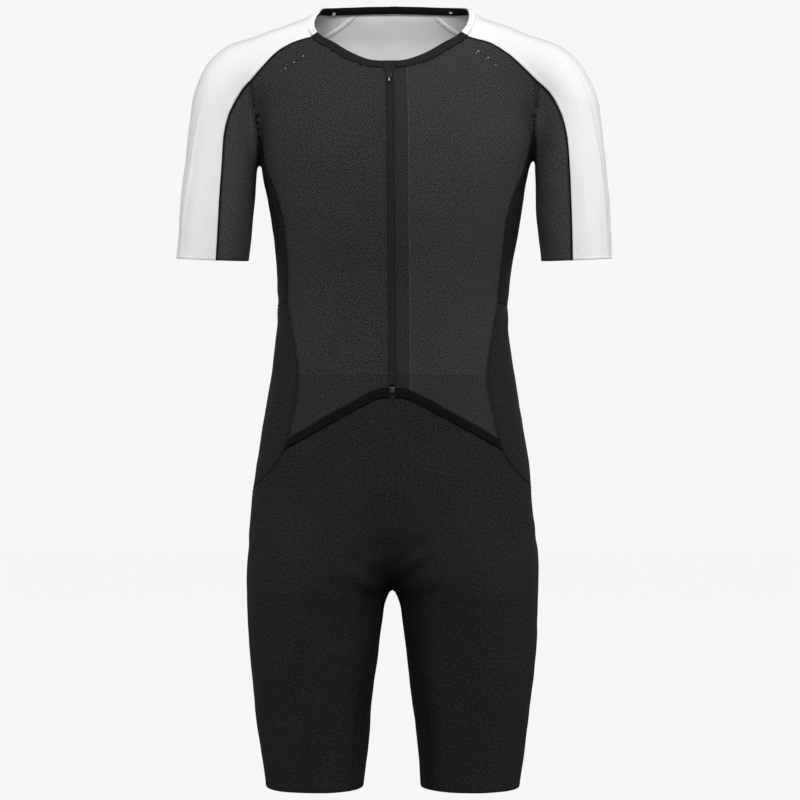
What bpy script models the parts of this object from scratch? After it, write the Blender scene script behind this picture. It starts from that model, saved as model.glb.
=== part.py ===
# A short-sleeved triathlon suit, filled out as when it is worn, with no wearer in it.
# It is cut and sewn from panels. Each is a thin wall that lies on one smooth figure, between its seams.
# The origin is in the middle, at the height of the side neck. The front looks along -Y, and +X is the
# wearer's left. Right pieces are the mirror image of left ones. Lengths in this file are millimetres.

import math
from types import SimpleNamespace

import bpy
import numpy as np
from mathutils import Vector
from mathutils.geometry import delaunay_2d_cdt

MM = 0.001  # metres in a millimetre

WALL = 1.5  # thickness of the knitted panels
SEAM_GAP = 0.3  # between two pieces that are sewn edge to edge
LAYER_GAP = 0.7  # between two layers that lie on each other
GRID = 23.0  # size of the facets inside a panel
EDGE_STEP = 15.0  # length of the facets along a seam
FINE_STEP = 11.0  # the same round the neck and the cuffs
ARMHOLE_STEP = 9.0  # the same round the armholes, which bend most

HEM_Z = -954.0  # leg hems
CUFF_S = 243.0  # sleeve cuff, along the arm from the top of the shoulder bend
BINDING_DARK = 11.0  # width of the front neck binding
BINDING_WHITE = 8.0  # width of the binding round the shoulders and back
NECK_TAPE = 12.0  # width of the tape inside the back neck
BAND_WIDTH = 10.0  # hem band of the front
ZIP_EDGE = 4.0  # from the middle to the fabric edge beside the zip
ZIP_MOUTH = 8.5  # the same at the open top of the zip
ZIP_TAPE = 21.0  # from the middle to the outer edge of a zip tape
ZIP_TOP = -70.0  # upper end of the zip's tapes, behind the binding
ZIP_END = -469.0  # their lower end, behind the hem band
CHAIN_WIDTH = 5.6
CHAIN_THICKNESS = 2.0
CHAIN_END = -460.0
STOP_SIZE = (6.0, 2.4, 7.5)  # the bottom stop, over the end of the chain
STOP_Z = -462.5  # its upper end
GUARD_WIDTH = 22.0  # flap behind the top of the zip
GUARD_ENDS = (-68.0, -112.0)
SLIDER_SIZE = (7.2, 3.0, 9.0)  # width, depth and length
SLIDER_Z = -87.0  # its middle
BRIDGE_SIZE = (1.2, 3.4, 6.6)  # the slider's bridge, which holds the pull tab's bar
PULL_SIZE = (3.6, 1.2, 14.0)  # width, thickness and length of the pull tab
PULL_EYE = (1.9, 3.0, 5.0)  # hole in the tab for the bridge
PULL_AXIS = (-2.55, 0.7)  # the tab's hinge: how far it is outside the chain, and above the slider's middle
BINDING = {"wall": 2.0, "lift": 0.4}
TAPE_WALL = 1.0  # neck tape, zip tapes and guard
BAND_WALL = 1.2

COLOURS = {  # base colour and roughness
    "white_knit": ((0.80, 0.80, 0.82), 0.75),
    "mesh_knit": ((0.028, 0.029, 0.031), 0.8),
    "smooth_knit": ((0.022, 0.023, 0.025), 0.7),
    "shorts_jersey": ((0.012, 0.012, 0.0135), 0.62),
    "black_tape": ((0.008, 0.008, 0.009), 0.6),
    "zip_plastic": ((0.02, 0.02, 0.021), 0.45),
    "zip_metal": ((0.10, 0.10, 0.105), 0.35),
}


# ---- The figure that the panels lie on ----


def sections(names, *rows):
    """Smooth curves through the named columns of a short table. Its first column places the rows."""
    rows = np.array(sorted(rows), float)
    place = rows[:, 0]

    def curve(values):
        slope = np.gradient(values, place)

        def read(at):
            at = np.clip(at, place[0], place[-1])
            i = np.clip(np.searchsorted(place, at) - 1, 0, len(place) - 2)
            step = place[i + 1] - place[i]
            t = (at - place[i]) / step
            start = (1 + 2 * t) * (1 - t) ** 2 * values[i] + t * (1 - t) ** 2 * step * slope[i]
            return start + t * t * (3 - 2 * t) * values[i + 1] + t * t * (t - 1) * step * slope[i + 1]

        return read

    return SimpleNamespace(**{name: curve(rows[:, k]) for k, name in enumerate(names.split()) if k})


# Trunk, by height: half width, y of its widest place, and depth from there to the front and to the back.
TRUNK = sections(
    "z half_width middle front back power",
    (40, 60, 24, 26, 26, 2),
    (14, 86, 22, 34, 36, 2),
    (4, 95, 20, 38, 41, 2),
    (-10, 118, 18, 46, 50, 2),
    (-27, 140, 16, 57, 61, 2),
    (-48, 154, 13, 69, 72, 2.05),
    (-69, 163, 10, 77, 81, 2.1),
    (-100, 169, 6, 93, 92, 2.2),
    (-135, 170, 0, 105, 102, 2.3),
    (-165, 168, -4, 110, 105, 2.35),
    (-194, 165, -6, 113, 104, 2.35),
    (-231, 157.5, -8, 112, 102, 2.35),
    (-280, 149.5, -10, 104, 96, 2.35),
    (-330, 143, -10, 94, 88, 2.35),
    (-380, 142, -10, 89, 82, 2.35),
    (-430, 147, -8, 91, 82, 2.35),
    (-480, 155.5, -5, 96, 88, 2.35),
    (-540, 165.5, 0, 103, 99, 2.35),
    (-600, 173, 4, 108, 109, 2.3),
    (-665, 177.5, 6, 108, 113, 2.2),
    (-730, 179, 8, 100, 105, 2.2),
)

# One leg, by height: x and y of its middle, half width, and half depth.
LEG = sections(
    "z x y half_width depth",
    (-560, 78, 3, 88, 104),
    (-640, 80, 4, 97.5, 108),
    (-700, 87.6, 5, 92.6, 104),
    (-712, 91.4, 5, 88.9, 102),
    (-725, 94, 5, 86, 99),
    (-750, 95.7, 5, 83.4, 95),
    (-799, 97.3, 4, 78.7, 87),
    (-849, 97.6, 3, 72.9, 79),
    (-898, 97.2, 3, 67.4, 72),
    (-947, 96.2, 3, 61.5, 66),
    (-1000, 94, 3, 57, 62),
)
LEG_POWER = 2.15
LEG_BLEND = sections(
    "z fillet share",
    (-725, 8, 1),
    (-712, 10, 1),
    (-690, 22, 0.93),
    (-640, 50, 0.5),
    (-585, 60, 0),
)

# The sleeve's axis, in the XZ plane: a line out from the neck, a bend over the shoulder, a line down.
SHOULDER_SLOPE = math.radians(19)  # the first line, below level
ARM_SLOPE = math.radians(4.3)  # the last line, out from vertical
BEND_RADIUS = 52.0
BEND_MIDDLE = (159.0, -128.0)  # x and z of the middle of the bend

# Sleeve, by the distance along its axis from the start of the bend: half width, y of its middle, half depth.
SLEEVE = sections(
    "s half_width y depth",
    (-120, 50, 16, 40),
    (-60, 49, 15, 44),
    (-20, 47, 12, 48),
    (15, 46.5, 9, 51),
    (42, 42, 6, 51),
    (62, 41.3, 4, 50),
    (85, 43, 3, 49),
    (110, 44.3, 2, 49),
    (135, 45, 1, 49),
    (200, 45, -1, 48),
    (240, 44, -2, 47),
)
SLEEVE_FILLET = sections(
    "z fillet",
    (-194, 8),
    (-184, 13),
    (-150, 24),
    (-110, 32),
    (-75, 26),
    (-40, 10),
    (0, 8),
)


def oval(x, y, half_width, front, back, power):
    """How far a point is outside an oval, along the spoke from the oval's middle."""
    depth = np.where(y < 0, front, back)
    spoke = np.hypot(x, y) + 1e-6
    ratio = (np.abs(x / half_width) ** power + np.abs(y / depth) ** power) ** (1 / power) + 1e-8
    return spoke - spoke / ratio


def soft_union(a, b, fillet):
    near = np.clip(fillet - np.abs(a - b), 0, None)
    return np.minimum(a, b) - near * near / (4 * fillet)


def along_arm(x, z):
    """Place of a point by the sleeve's axis: the distance along it, and how far it is to the outer side."""
    dx = x - BEND_MIDDLE[0]
    dz = z - BEND_MIDDLE[1]
    turn = np.arctan2(dx, dz)  # 0 is straight up, and it grows outwards
    start = SHOULDER_SLOPE
    end = math.pi / 2 - ARM_SLOPE
    first = turn < start - 0.5 * (math.pi + start - end)
    before = (turn < start) | first
    after = turn > end
    out = np.hypot(dx, dz) - BEND_RADIUS
    s = BEND_RADIUS * (turn - start)
    line_s = dx * math.cos(start) - dz * math.sin(start)
    line_out = dx * math.sin(start) + dz * math.cos(start) - BEND_RADIUS
    s = np.where(before, line_s, s)
    out = np.where(before, line_out, out)
    arm_s = dx * math.cos(end) - dz * math.sin(end) + BEND_RADIUS * (end - start)
    arm_out = dx * math.sin(end) + dz * math.cos(end) - BEND_RADIUS
    return np.where(after, arm_s, s), np.where(after, arm_out, out)


def arm_point(s):
    """Axis point at a distance along the arm, and the direction to the outer side, both as x and z."""
    start = SHOULDER_SLOPE
    end = math.pi / 2 - ARM_SLOPE
    turn = np.clip(start + s / BEND_RADIUS, start, end)
    rest = s - BEND_RADIUS * (turn - start)
    out = np.stack([np.sin(turn), np.cos(turn)], -1)
    ahead = np.stack([np.cos(turn), -np.sin(turn)], -1)
    return np.array(BEND_MIDDLE) + BEND_RADIUS * out + rest[..., None] * ahead, out


def body(p):
    """Trunk and legs."""
    x, y, z = np.abs(p[:, 0]), p[:, 1], p[:, 2]
    trunk = oval(x, y - TRUNK.middle(z), TRUNK.half_width(z), TRUNK.front(z), TRUNK.back(z), TRUNK.power(z))
    depth = LEG.depth(z)
    near = oval(x - LEG.x(z), y - LEG.y(z), LEG.half_width(z), depth, depth, LEG_POWER)
    far = oval(x + LEG.x(z), y - LEG.y(z), LEG.half_width(z), depth, depth, LEG_POWER)
    legs = soft_union(near, far, LEG_BLEND.fillet(z))
    share = np.clip(LEG_BLEND.share(z), 0, 1)
    return trunk + share * (legs - trunk)


def figure(p):
    """How far points are outside the whole figure."""
    s, out = along_arm(np.abs(p[:, 0]), p[:, 2])
    depth = SLEEVE.depth(s)
    sleeve = oval(out, p[:, 1] - SLEEVE.y(s), SLEEVE.half_width(s), depth, depth, 2.0)
    return soft_union(body(p), sleeve, SLEEVE_FILLET.fillet(p[:, 2]))


def normals(p, step=0.4):
    """Outward directions of the figure."""
    n = np.zeros_like(p)
    for axis in range(3):
        d = np.zeros(3)
        d[axis] = step
        n[:, axis] = figure(p + d) - figure(p - d)
    return n / np.linalg.norm(n, axis=1)[:, None]


def settle(p):
    """Points brought onto the figure along its own directions."""
    for _ in range(6):
        n = normals(p)
        slope = (figure(p + 0.5 * n) - figure(p - 0.5 * n))[:, None]
        p = p - np.clip(figure(p)[:, None] / slope, -4, 4) * n
    return p


def first_exit(origin, direction, reach=420.0):
    """Where rays that start inside the figure first leave it."""
    inner = np.zeros(len(origin))
    outer = np.zeros(len(origin))
    going = np.ones(len(origin), bool)
    while going.any() and inner.max() < reach:
        value = figure(origin[going] + outer[going, None] * direction[going])
        leaves = value >= 0
        index = np.flatnonzero(going)
        going[index[leaves]] = False
        stays = index[~leaves]
        inner[stays] = outer[stays]
        outer[stays] += np.clip(-0.6 * value[~leaves], 0.5, 7)
    for _ in range(20):
        middle = (inner + outer) / 2
        inside = figure(origin + middle[:, None] * direction) < 0
        inner = np.where(inside, middle, inner)
        outer = np.where(inside, outer, middle)
    return origin + ((inner + outer) / 2)[:, None] * direction


# ---- Charts: flat maps of the figure, each with a way there and back ----
# hand is 1 where a chart is seen from outside the figure as it is, and -1 where it is mirrored.


def heart(z):
    """x of the middle of one half of the body, inside it at every height."""
    return np.interp(z, (-712, -560, -430, -300), (93, 60, 30, 20))


def rays(x, y, z, dx, dy, dz):
    ones = np.ones(len(np.atleast_1d(x + y + z + dx + dy + dz)))
    origin = np.stack([x * ones, y * ones, z * ones], -1)
    return origin, np.stack([dx * ones, dy * ones, dz * ones], -1)


def inside_y(x, z):
    """y of a place inside the figure behind or before each point of a front or back view."""
    s, _ = along_arm(np.abs(x), z)
    over_arm = np.clip((np.abs(x) - 150) / 30, 0, 1) * (z > -330)
    return (1 - over_arm) * TRUNK.middle(z) + over_arm * SLEEVE.y(s)


FRONT = SimpleNamespace(
    there=lambda u, v: first_exit(*rays(u, inside_y(u, v), v, 0, -1, 0)),
    back=lambda p: (p[:, 0], p[:, 2]),
    hand=1,
)
BACK = SimpleNamespace(
    there=lambda u, v: first_exit(*rays(-u, inside_y(u, v), v, 0, 1, 0)),
    back=lambda p: (-p[:, 0], p[:, 2]),
    hand=1,
)
FAN_SCALE = 95.0  # millimetres a radian, round the body
SLEEVE_SCALE = 50.0  # the same round a sleeve


def fan_there(u, v):
    turn = u / FAN_SCALE
    return first_exit(*rays(heart(v), 0, v, np.sin(turn), -np.cos(turn), 0))


def fan_back(p):
    return FAN_SCALE * np.arctan2(p[:, 0] - heart(p[:, 2]), -p[:, 1]), p[:, 2]


def fan_back_rear(p):
    """The same for the back half, which turns on past half a turn."""
    u, v = fan_back(p)
    return np.where(u < -0.2 * FAN_SCALE, u + 2 * math.pi * FAN_SCALE, u), v


FAN = SimpleNamespace(there=fan_there, back=fan_back, hand=1)
REAR_FAN = SimpleNamespace(there=fan_there, back=fan_back_rear, hand=1)


def sleeve_there(u, v):
    turn = u / SLEEVE_SCALE  # 0 is the outer side, and it grows towards the back
    point, out = arm_point(v)
    across = np.cos(turn)[:, None] * out
    return first_exit(*rays(point[:, 0], SLEEVE.y(v), point[:, 1], across[:, 0], np.sin(turn), across[:, 1]))


def sleeve_back(p):
    s, out = along_arm(p[:, 0], p[:, 2])
    return SLEEVE_SCALE * np.arctan2(p[:, 1] - SLEEVE.y(s), out), s


def sleeve_back_inner(p):
    """The same for the inner side, whose turn runs from the back, through the inner side, to the front."""
    u, v = sleeve_back(p)
    return np.where(u < 0, u + 2 * math.pi * SLEEVE_SCALE, u), v


SLEEVE_TOP = SimpleNamespace(there=sleeve_there, back=sleeve_back, hand=-1)
SLEEVE_UNDER = SimpleNamespace(there=sleeve_there, back=sleeve_back_inner, hand=-1)

ARCH_Z = -745.0  # rays to the arch between the legs fan out from here


def arch_there(u, v):
    """Across the inner thigh: u is y, and v runs from the middle of the crotch down the leg."""
    turn = np.clip(v / 25.0, 0, math.pi / 2)
    z = np.minimum(ARCH_Z, ARCH_Z - (v - 25.0 * math.pi / 2))
    origin, direction = rays(0, u, z, np.sin(turn), 0, np.cos(turn))
    outer = np.zeros(len(u))
    for _ in range(160):
        value = figure(origin + outer[:, None] * direction)
        outer = np.where(value > 0.002, outer + np.clip(0.5 * value, 0.002, 3), outer)
    return origin + outer[:, None] * direction


def arch_back(p):
    turn = np.arctan2(p[:, 0], p[:, 2] - ARCH_Z)
    return p[:, 1], np.where(p[:, 2] > ARCH_Z, 25.0 * turn, 25.0 * math.pi / 2 + ARCH_Z - p[:, 2])


ARCH = SimpleNamespace(there=arch_there, back=arch_back, hand=1)


# ---- Seams: lines on the figure that two panels share ----


def spaced(p, step=EDGE_STEP, fixed=()):
    """A line of points divided anew into even steps, with points kept at fixed distances from its start."""
    length = np.concatenate([[0], np.cumsum(np.linalg.norm(np.diff(p, axis=0), axis=1))])
    marks = [0.0, *fixed, length[-1]]
    places = [0.0]
    for a, b in zip(marks, marks[1:]):
        n = max(1, round((b - a) / step))
        places += [a + (b - a) * k / n for k in range(1, n + 1)]
    return np.stack([np.interp(places, length, p[:, k]) for k in range(3)], -1)


def smooth_line(rows, n=60):
    """Curve through the rows of a short table, by equal steps along it."""
    rows = np.array(rows, float)
    t = np.concatenate([[0], np.cumsum(np.linalg.norm(np.diff(rows, axis=0), axis=1))])
    at = np.linspace(0, t[-1], n)
    names = [f"c{k}" for k in range(rows.shape[1])]
    read = sections(" ".join(["t", *names]), *np.column_stack([t, rows]).tolist())
    return [getattr(read, name)(at) for name in names]


def neckline(turns):
    """Points of the neck edge at turns from the front middle, in degrees."""
    turns = np.asarray(turns, float)
    z = NECK.z(turns)
    turn = np.radians(turns)
    return first_exit(*rays(0, 12, z, np.sin(turn), -np.cos(turn), 0))


# Neck edge, by the turn from the front middle: its height.
NECK = sections(
    "turn z",
    (0, -68.5),
    (17, -65.8),
    (34.6, -55.5),
    (48, -43.5),
    (65, -27.5),
    (82, -1),
    (95, 9.5),
    (110, 13.5),
    (130, 16),
    (180, 18),
)
NECK_RAGLAN_FRONT = 65.0  # turns at which the shoulder seams leave the neck
NECK_RAGLAN_BACK = 135.0
TAPE_START = 86.0  # turn at which the neck tape inside the back begins

# Seams by x and z, those of the front as seen from the front and those of the back as seen from behind.
RAGLAN = ((98, -35), (116, -43), (140, -57), (155, -72), (175, -94))
RAGLAN_BACK = ((66, -8), (95, -26), (125, -47), (152, -72), (175, -100))
SLEEVE_SEAM = ((188, -106), (200, -124), (207.5, -150), (211, -187), (214, -240))
SIDE_SEAM = ((157, -197), (146, -222), (136, -256), (131, -300), (128, -360))
HIP_SEAM = ((119.5, -405), (113.5, -445), (118.5, -486), (127, -522), (131, -538))
HIP_BACK = ((120, -405), (116, -445), (119, -500), (125, -560), (131, -600))
INNER_SEAM = ((12, -728), (18, -741), (27.5, -774), (35.5, -811), (41.5, -858), (45.5, -895), (49, -954))
SIDE_Z = -592.0  # height of the side where the hip panel ends and the shorts' side seam starts
SIDE_TURN = 95.0  # turn of that side seam
HIP_BOTTOM = ((52, -554), (66, -575), (SIDE_TURN, SIDE_Z))  # by turn and height
HIP_BOTTOM_BACK = ((112, -599),)
PEAK_DIP = 5.0  # the hip panel's top edge runs lower at the side than at its points
ARMHOLE_X = (175.0, 168.5)  # the armhole's plane, at its top and under the arm
ARMHOLE_HEART = (4.0, -118.0)  # y and z that the armhole turns round
ARMHOLE_MARK = 46.0  # degrees below level, where the side seams meet the armhole
CUFF_TURN = 99.6  # from the outer side of the sleeve to its seams, at the cuff
CUFF_DROP = (-1.0, 3.2, 1.6)  # how much lower the cuff hangs: all of it, its front and its outer side
CROTCH_FRONT = -24.0  # y of the gusset's ends in the middle
CROTCH_BACK = 36.0
WAIST_BACK_Z = -440.0
BAND_CORNER = (17.0, -475.0)  # where the band's lower edge bends down
BAND_END = HIP_SEAM[-1]


def band_edge(x, above=0.0):
    """Height of the lower edge of the hem band, or of a line that runs above it on the slope."""
    slope = (BAND_END[1] - BAND_CORNER[1]) / (BAND_END[0] - BAND_CORNER[0])
    bend = 0.5 * (x - BAND_CORNER[0] + np.sqrt((x - BAND_CORNER[0]) ** 2 + 60))
    return BAND_CORNER[1] + slope * bend + above * math.hypot(1, slope)


def zip_edge(z):
    """Distance of the fabric's edge from the middle of the zip, wider at its open top."""
    t = np.clip((z + 90) / 20, 0, 1)
    return ZIP_EDGE + (ZIP_MOUTH - ZIP_EDGE) * t * t * (3 - 2 * t)


# ---- Panels ----


def add_object(name, verts, faces, material):
    mesh = bpy.data.meshes.new(name)
    mesh.from_pydata([tuple(v * MM for v in p) for p in verts], [], faces)
    mesh.materials.append(material)
    obj = bpy.data.objects.new(name, mesh)
    SUIT.objects.link(obj)
    return obj


def inset(loop, out, flat):
    """A closed line on the figure, moved half a seam gap inwards. Points of the middle plane stay on it."""
    result = loop.copy()
    n = len(loop)
    for i in range(n):
        sides = []
        for a, b in ((loop[i - 1], loop[i]), (loop[i], loop[(i + 1) % n])):
            if not (flat and abs(a[0]) < 1e-6 and abs(b[0]) < 1e-6):
                side = np.cross(out[i], b - a)
                sides.append(side / np.linalg.norm(side))
        if sides:
            total = sum(sides)
            scale = max(1 + float(np.dot(sides[0], sides[-1])), 0.5) if len(sides) == 2 else 1
            result[i] += total / scale * SEAM_GAP / 2
    if flat:
        result[np.abs(loop[:, 0]) < 1e-6, 0] = 0
    return result


def fill(chart, loop, grid):
    """Triangles of the area inside a closed line, and the points that are added within it."""
    u, v = chart.back(loop)
    edge = np.stack([u, v], -1)
    following = np.roll(edge, -1, axis=0)
    rows = np.arange(edge[:, 1].min(), edge[:, 1].max(), grid * 0.87)
    spots = []
    for k, row in enumerate(rows[1:], 1):
        for spot_u in np.arange(edge[:, 0].min() + grid * 0.5 * (k % 2), edge[:, 0].max(), grid):
            crosses = (edge[:, 1] > row) != (following[:, 1] > row)
            rise = np.where(crosses, following[:, 1] - edge[:, 1], 1)
            at = edge[:, 0] + (row - edge[:, 1]) * (following[:, 0] - edge[:, 0]) / rise
            if np.count_nonzero(crosses & (at > spot_u)) % 2:
                spot = np.array([spot_u, row])
                run = following - edge
                t = np.clip(((spot - edge) * run).sum(1) / (run * run).sum(1), 0, 1)
                if np.hypot(*(edge + t[:, None] * run - spot).T).min() > grid * 0.5:
                    spots.append(spot)
    spots = np.array(spots).reshape(-1, 2)
    flat = [Vector(p) for p in np.concatenate([edge, spots])]
    count = len(edge)
    _, _, triangles, kept, _, _ = delaunay_2d_cdt(flat, [], [list(range(count))], 1, 1e-6)
    triangles = [[kept[i][0] for i in t] for t in triangles]
    inner = settle(chart.there(spots[:, 0], spots[:, 1])) if len(spots) else np.zeros((0, 3))
    return triangles, inner


def turns_backwards(ring, chart):
    """Whether a ring of points runs clockwise as seen from outside the figure."""
    if chart:
        u, v = chart.back(ring)
        return chart.hand * (u * np.roll(v, -1) - v * np.roll(u, -1)).sum() < 0
    a, b, c = ring[0], ring[1], ring[-2]
    return np.dot(np.cross(b - a, c - a), normals(ring[:1])[0]) < 0


def rank(p):
    """An order of points by place, so that rims that face each other are divided by the same diagonals."""
    return p[2] + 0.37 * p[1] + 0.11 * p[0]


def ladder(count):
    """Faces between two sides of a ring that has as many points on the one as on the other."""
    half = count // 2
    return [[i, i + 1, count - 2 - i, count - 1 - i] for i in range(half - 1)]


def cloth(name, chart, seams, material, wall=WALL, lift=0.0, flat=False, mirror=False, grid=GRID):
    """A panel: a wall of even thickness inside a ring of seams, its outer face lifted off the figure.

    Both faces follow the figure's own directions, so the walls of two panels meet squarely at their seam.
    With no chart it is a strip between the first two seams. A flat panel is a half that its mirror image
    completes, and a mirrored one is a left piece with a right one like it.
    """
    ring = np.concatenate([s[:-1] for s in seams]) if chart else np.concatenate([seams[0], seams[1][::-1]])
    if turns_backwards(ring, chart):
        ring = ring[::-1]
    out = normals(ring)
    if flat:
        out[np.abs(ring[:, 0]) < 1e-6, 0] = 0
    points = inset(ring, out, flat)
    if chart:
        faces, inner = fill(chart, points, grid)
        points = np.concatenate([points, inner])
        out = np.concatenate([out, normals(inner)]) if len(inner) else out
    else:
        faces = ladder(len(points))
    a, b, c = (points[faces[0][k]] for k in range(3))
    if np.dot(np.cross(b - a, c - a), out[faces[0][0]]) < 0:
        faces = [f[::-1] for f in faces]
    outer = points + lift * out
    n = len(points)
    pairs = {(f[k - 1], f[k]) for f in faces for k in range(len(f))}
    rim = []
    for i, j in sorted(pairs):
        open_side = flat and abs(points[i][0]) < 1e-6 and abs(points[j][0]) < 1e-6
        if (j, i) not in pairs and not open_side:
            if rank(points[i]) < rank(points[j]):
                rim += [[j, i, i + n], [j, i + n, j + n]]
            else:
                rim += [[j, i, j + n], [i, i + n, j + n]]
    faces = faces + [[i + n for i in f[::-1]] for f in faces] + rim
    verts = np.concatenate([outer, outer - wall * out])
    if mirror:
        add_object(name + "_left", verts, faces, material)
        add_object(name + "_right", verts * (-1, 1, 1), [f[::-1] for f in faces], material)
        return
    obj = add_object(name, verts, faces, material)
    if flat:
        other = obj.modifiers.new("other half", "MIRROR")
        other.merge_threshold = 0.00001


# ---- Seams of this suit ----


def part_of(line, start=None, end=None):
    """The stretch of a line between two of its points."""
    first = 0 if start is None else int(np.linalg.norm(line - start, axis=1).argmin())
    last = len(line) - 1 if end is None else int(np.linalg.norm(line - end, axis=1).argmin())
    return line[first : last + 1] if first < last else line[last : first + 1][::-1]


def length_to(line, passed):
    """Distance along a line to the first point that has passed a mark."""
    steps = np.linalg.norm(np.diff(line, axis=0), axis=1)
    return float(steps[: int(np.argmax(passed))].sum())


def point_at(line, length):
    return spaced(line, 1e9, (length,))[1]


def view_line(chart, rows, side=1, step=EDGE_STEP, fixed=(), start=None, end=None):
    """A seam by x and z, seen from the front (side 1) or from behind (side -1), between two given points."""
    x, z = np.array(rows, float).T
    through = chart.there(side * x, z)
    if start is not None:
        through = np.concatenate([start[None], through])
    if end is not None:
        through = np.concatenate([through, end[None]])
    line = settle(np.stack(smooth_line(through), -1))
    if start is not None:
        line[0] = start
    if end is not None:
        line[-1] = end
    return spaced(line, step, fixed)


def fan_line(rows, start=None, end=None, step=EDGE_STEP):
    """A seam round the body by turn in degrees and height."""
    turn, z = np.array(rows, float).reshape(-1, 2).T
    through = fan_there(FAN_SCALE * np.radians(turn), z)
    if start is not None:
        through = np.concatenate([start[None], through])
    if end is not None:
        through = np.concatenate([through, end[None]])
    ends = through[0], through[-1]
    line = settle(np.stack(smooth_line(through), -1))
    line[0], line[-1] = ends
    return spaced(line, step)


def armhole(first, last):
    """Points of the armhole between two turns below level, 0 at the front and 180 at the back."""
    turn = np.linspace(first, last, 40)
    down = np.clip(np.sin(np.radians(turn)) * 0.75 + 0.25, 0, 1)
    x = ARMHOLE_X[0] + (ARMHOLE_X[1] - ARMHOLE_X[0]) * down
    y, z = ARMHOLE_HEART
    return first_exit(*rays(x, y, z, 0, -np.cos(np.radians(turn)), -np.sin(np.radians(turn))))


def armhole_turn(p):
    turn = math.degrees(math.atan2(ARMHOLE_HEART[1] - p[2], ARMHOLE_HEART[0] - p[1]))
    return turn if turn > -90 else turn + 360


def middle_line(top, end_y, side, step=EDGE_STEP):
    """The line in the middle plane from a height down to the crotch, on the front (-1) or back (1)."""
    bend_z = -640.0
    z = np.linspace(top, bend_z, 60)
    straight = first_exit(*rays(0, TRUNK.middle(z), z, 0, side, 0))
    turn = np.radians(np.linspace(2, 88, 90))
    under = first_exit(*rays(0, 5, bend_z, 0, side * np.cos(turn), -np.sin(turn)))
    line = np.concatenate([straight, under[side * (under[:, 1] - end_y) > 1]])
    line = np.concatenate([line, settle(np.array([[0, end_y, under[-1][2]]]))])
    line[:, 0] = 0
    return spaced(line, step)


def beside(line, width, first=None, last=None):
    """A line on the figure at a width beside another, on its left looking along it, with given ends."""
    run = np.gradient(line, axis=0)
    run /= np.linalg.norm(run, axis=1)[:, None]
    moved = line
    for _ in range(4):
        moved = moved + width / 4 * np.cross(normals(moved), run)
    moved = settle(moved)
    moved[0] = moved[0] if first is None else first
    moved[-1] = moved[-1] if last is None else last
    return moved


def cuff_at(turns):
    """Points of the cuff, at turns from the sleeve's outer side: its front hangs lower than its back."""
    turns = np.radians(turns)
    middle, front, outside = CUFF_DROP
    s = CUFF_S + middle - front * np.sin(turns) + outside * np.cos(turns)
    return sleeve_there(SLEEVE_SCALE * turns, s)


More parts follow.
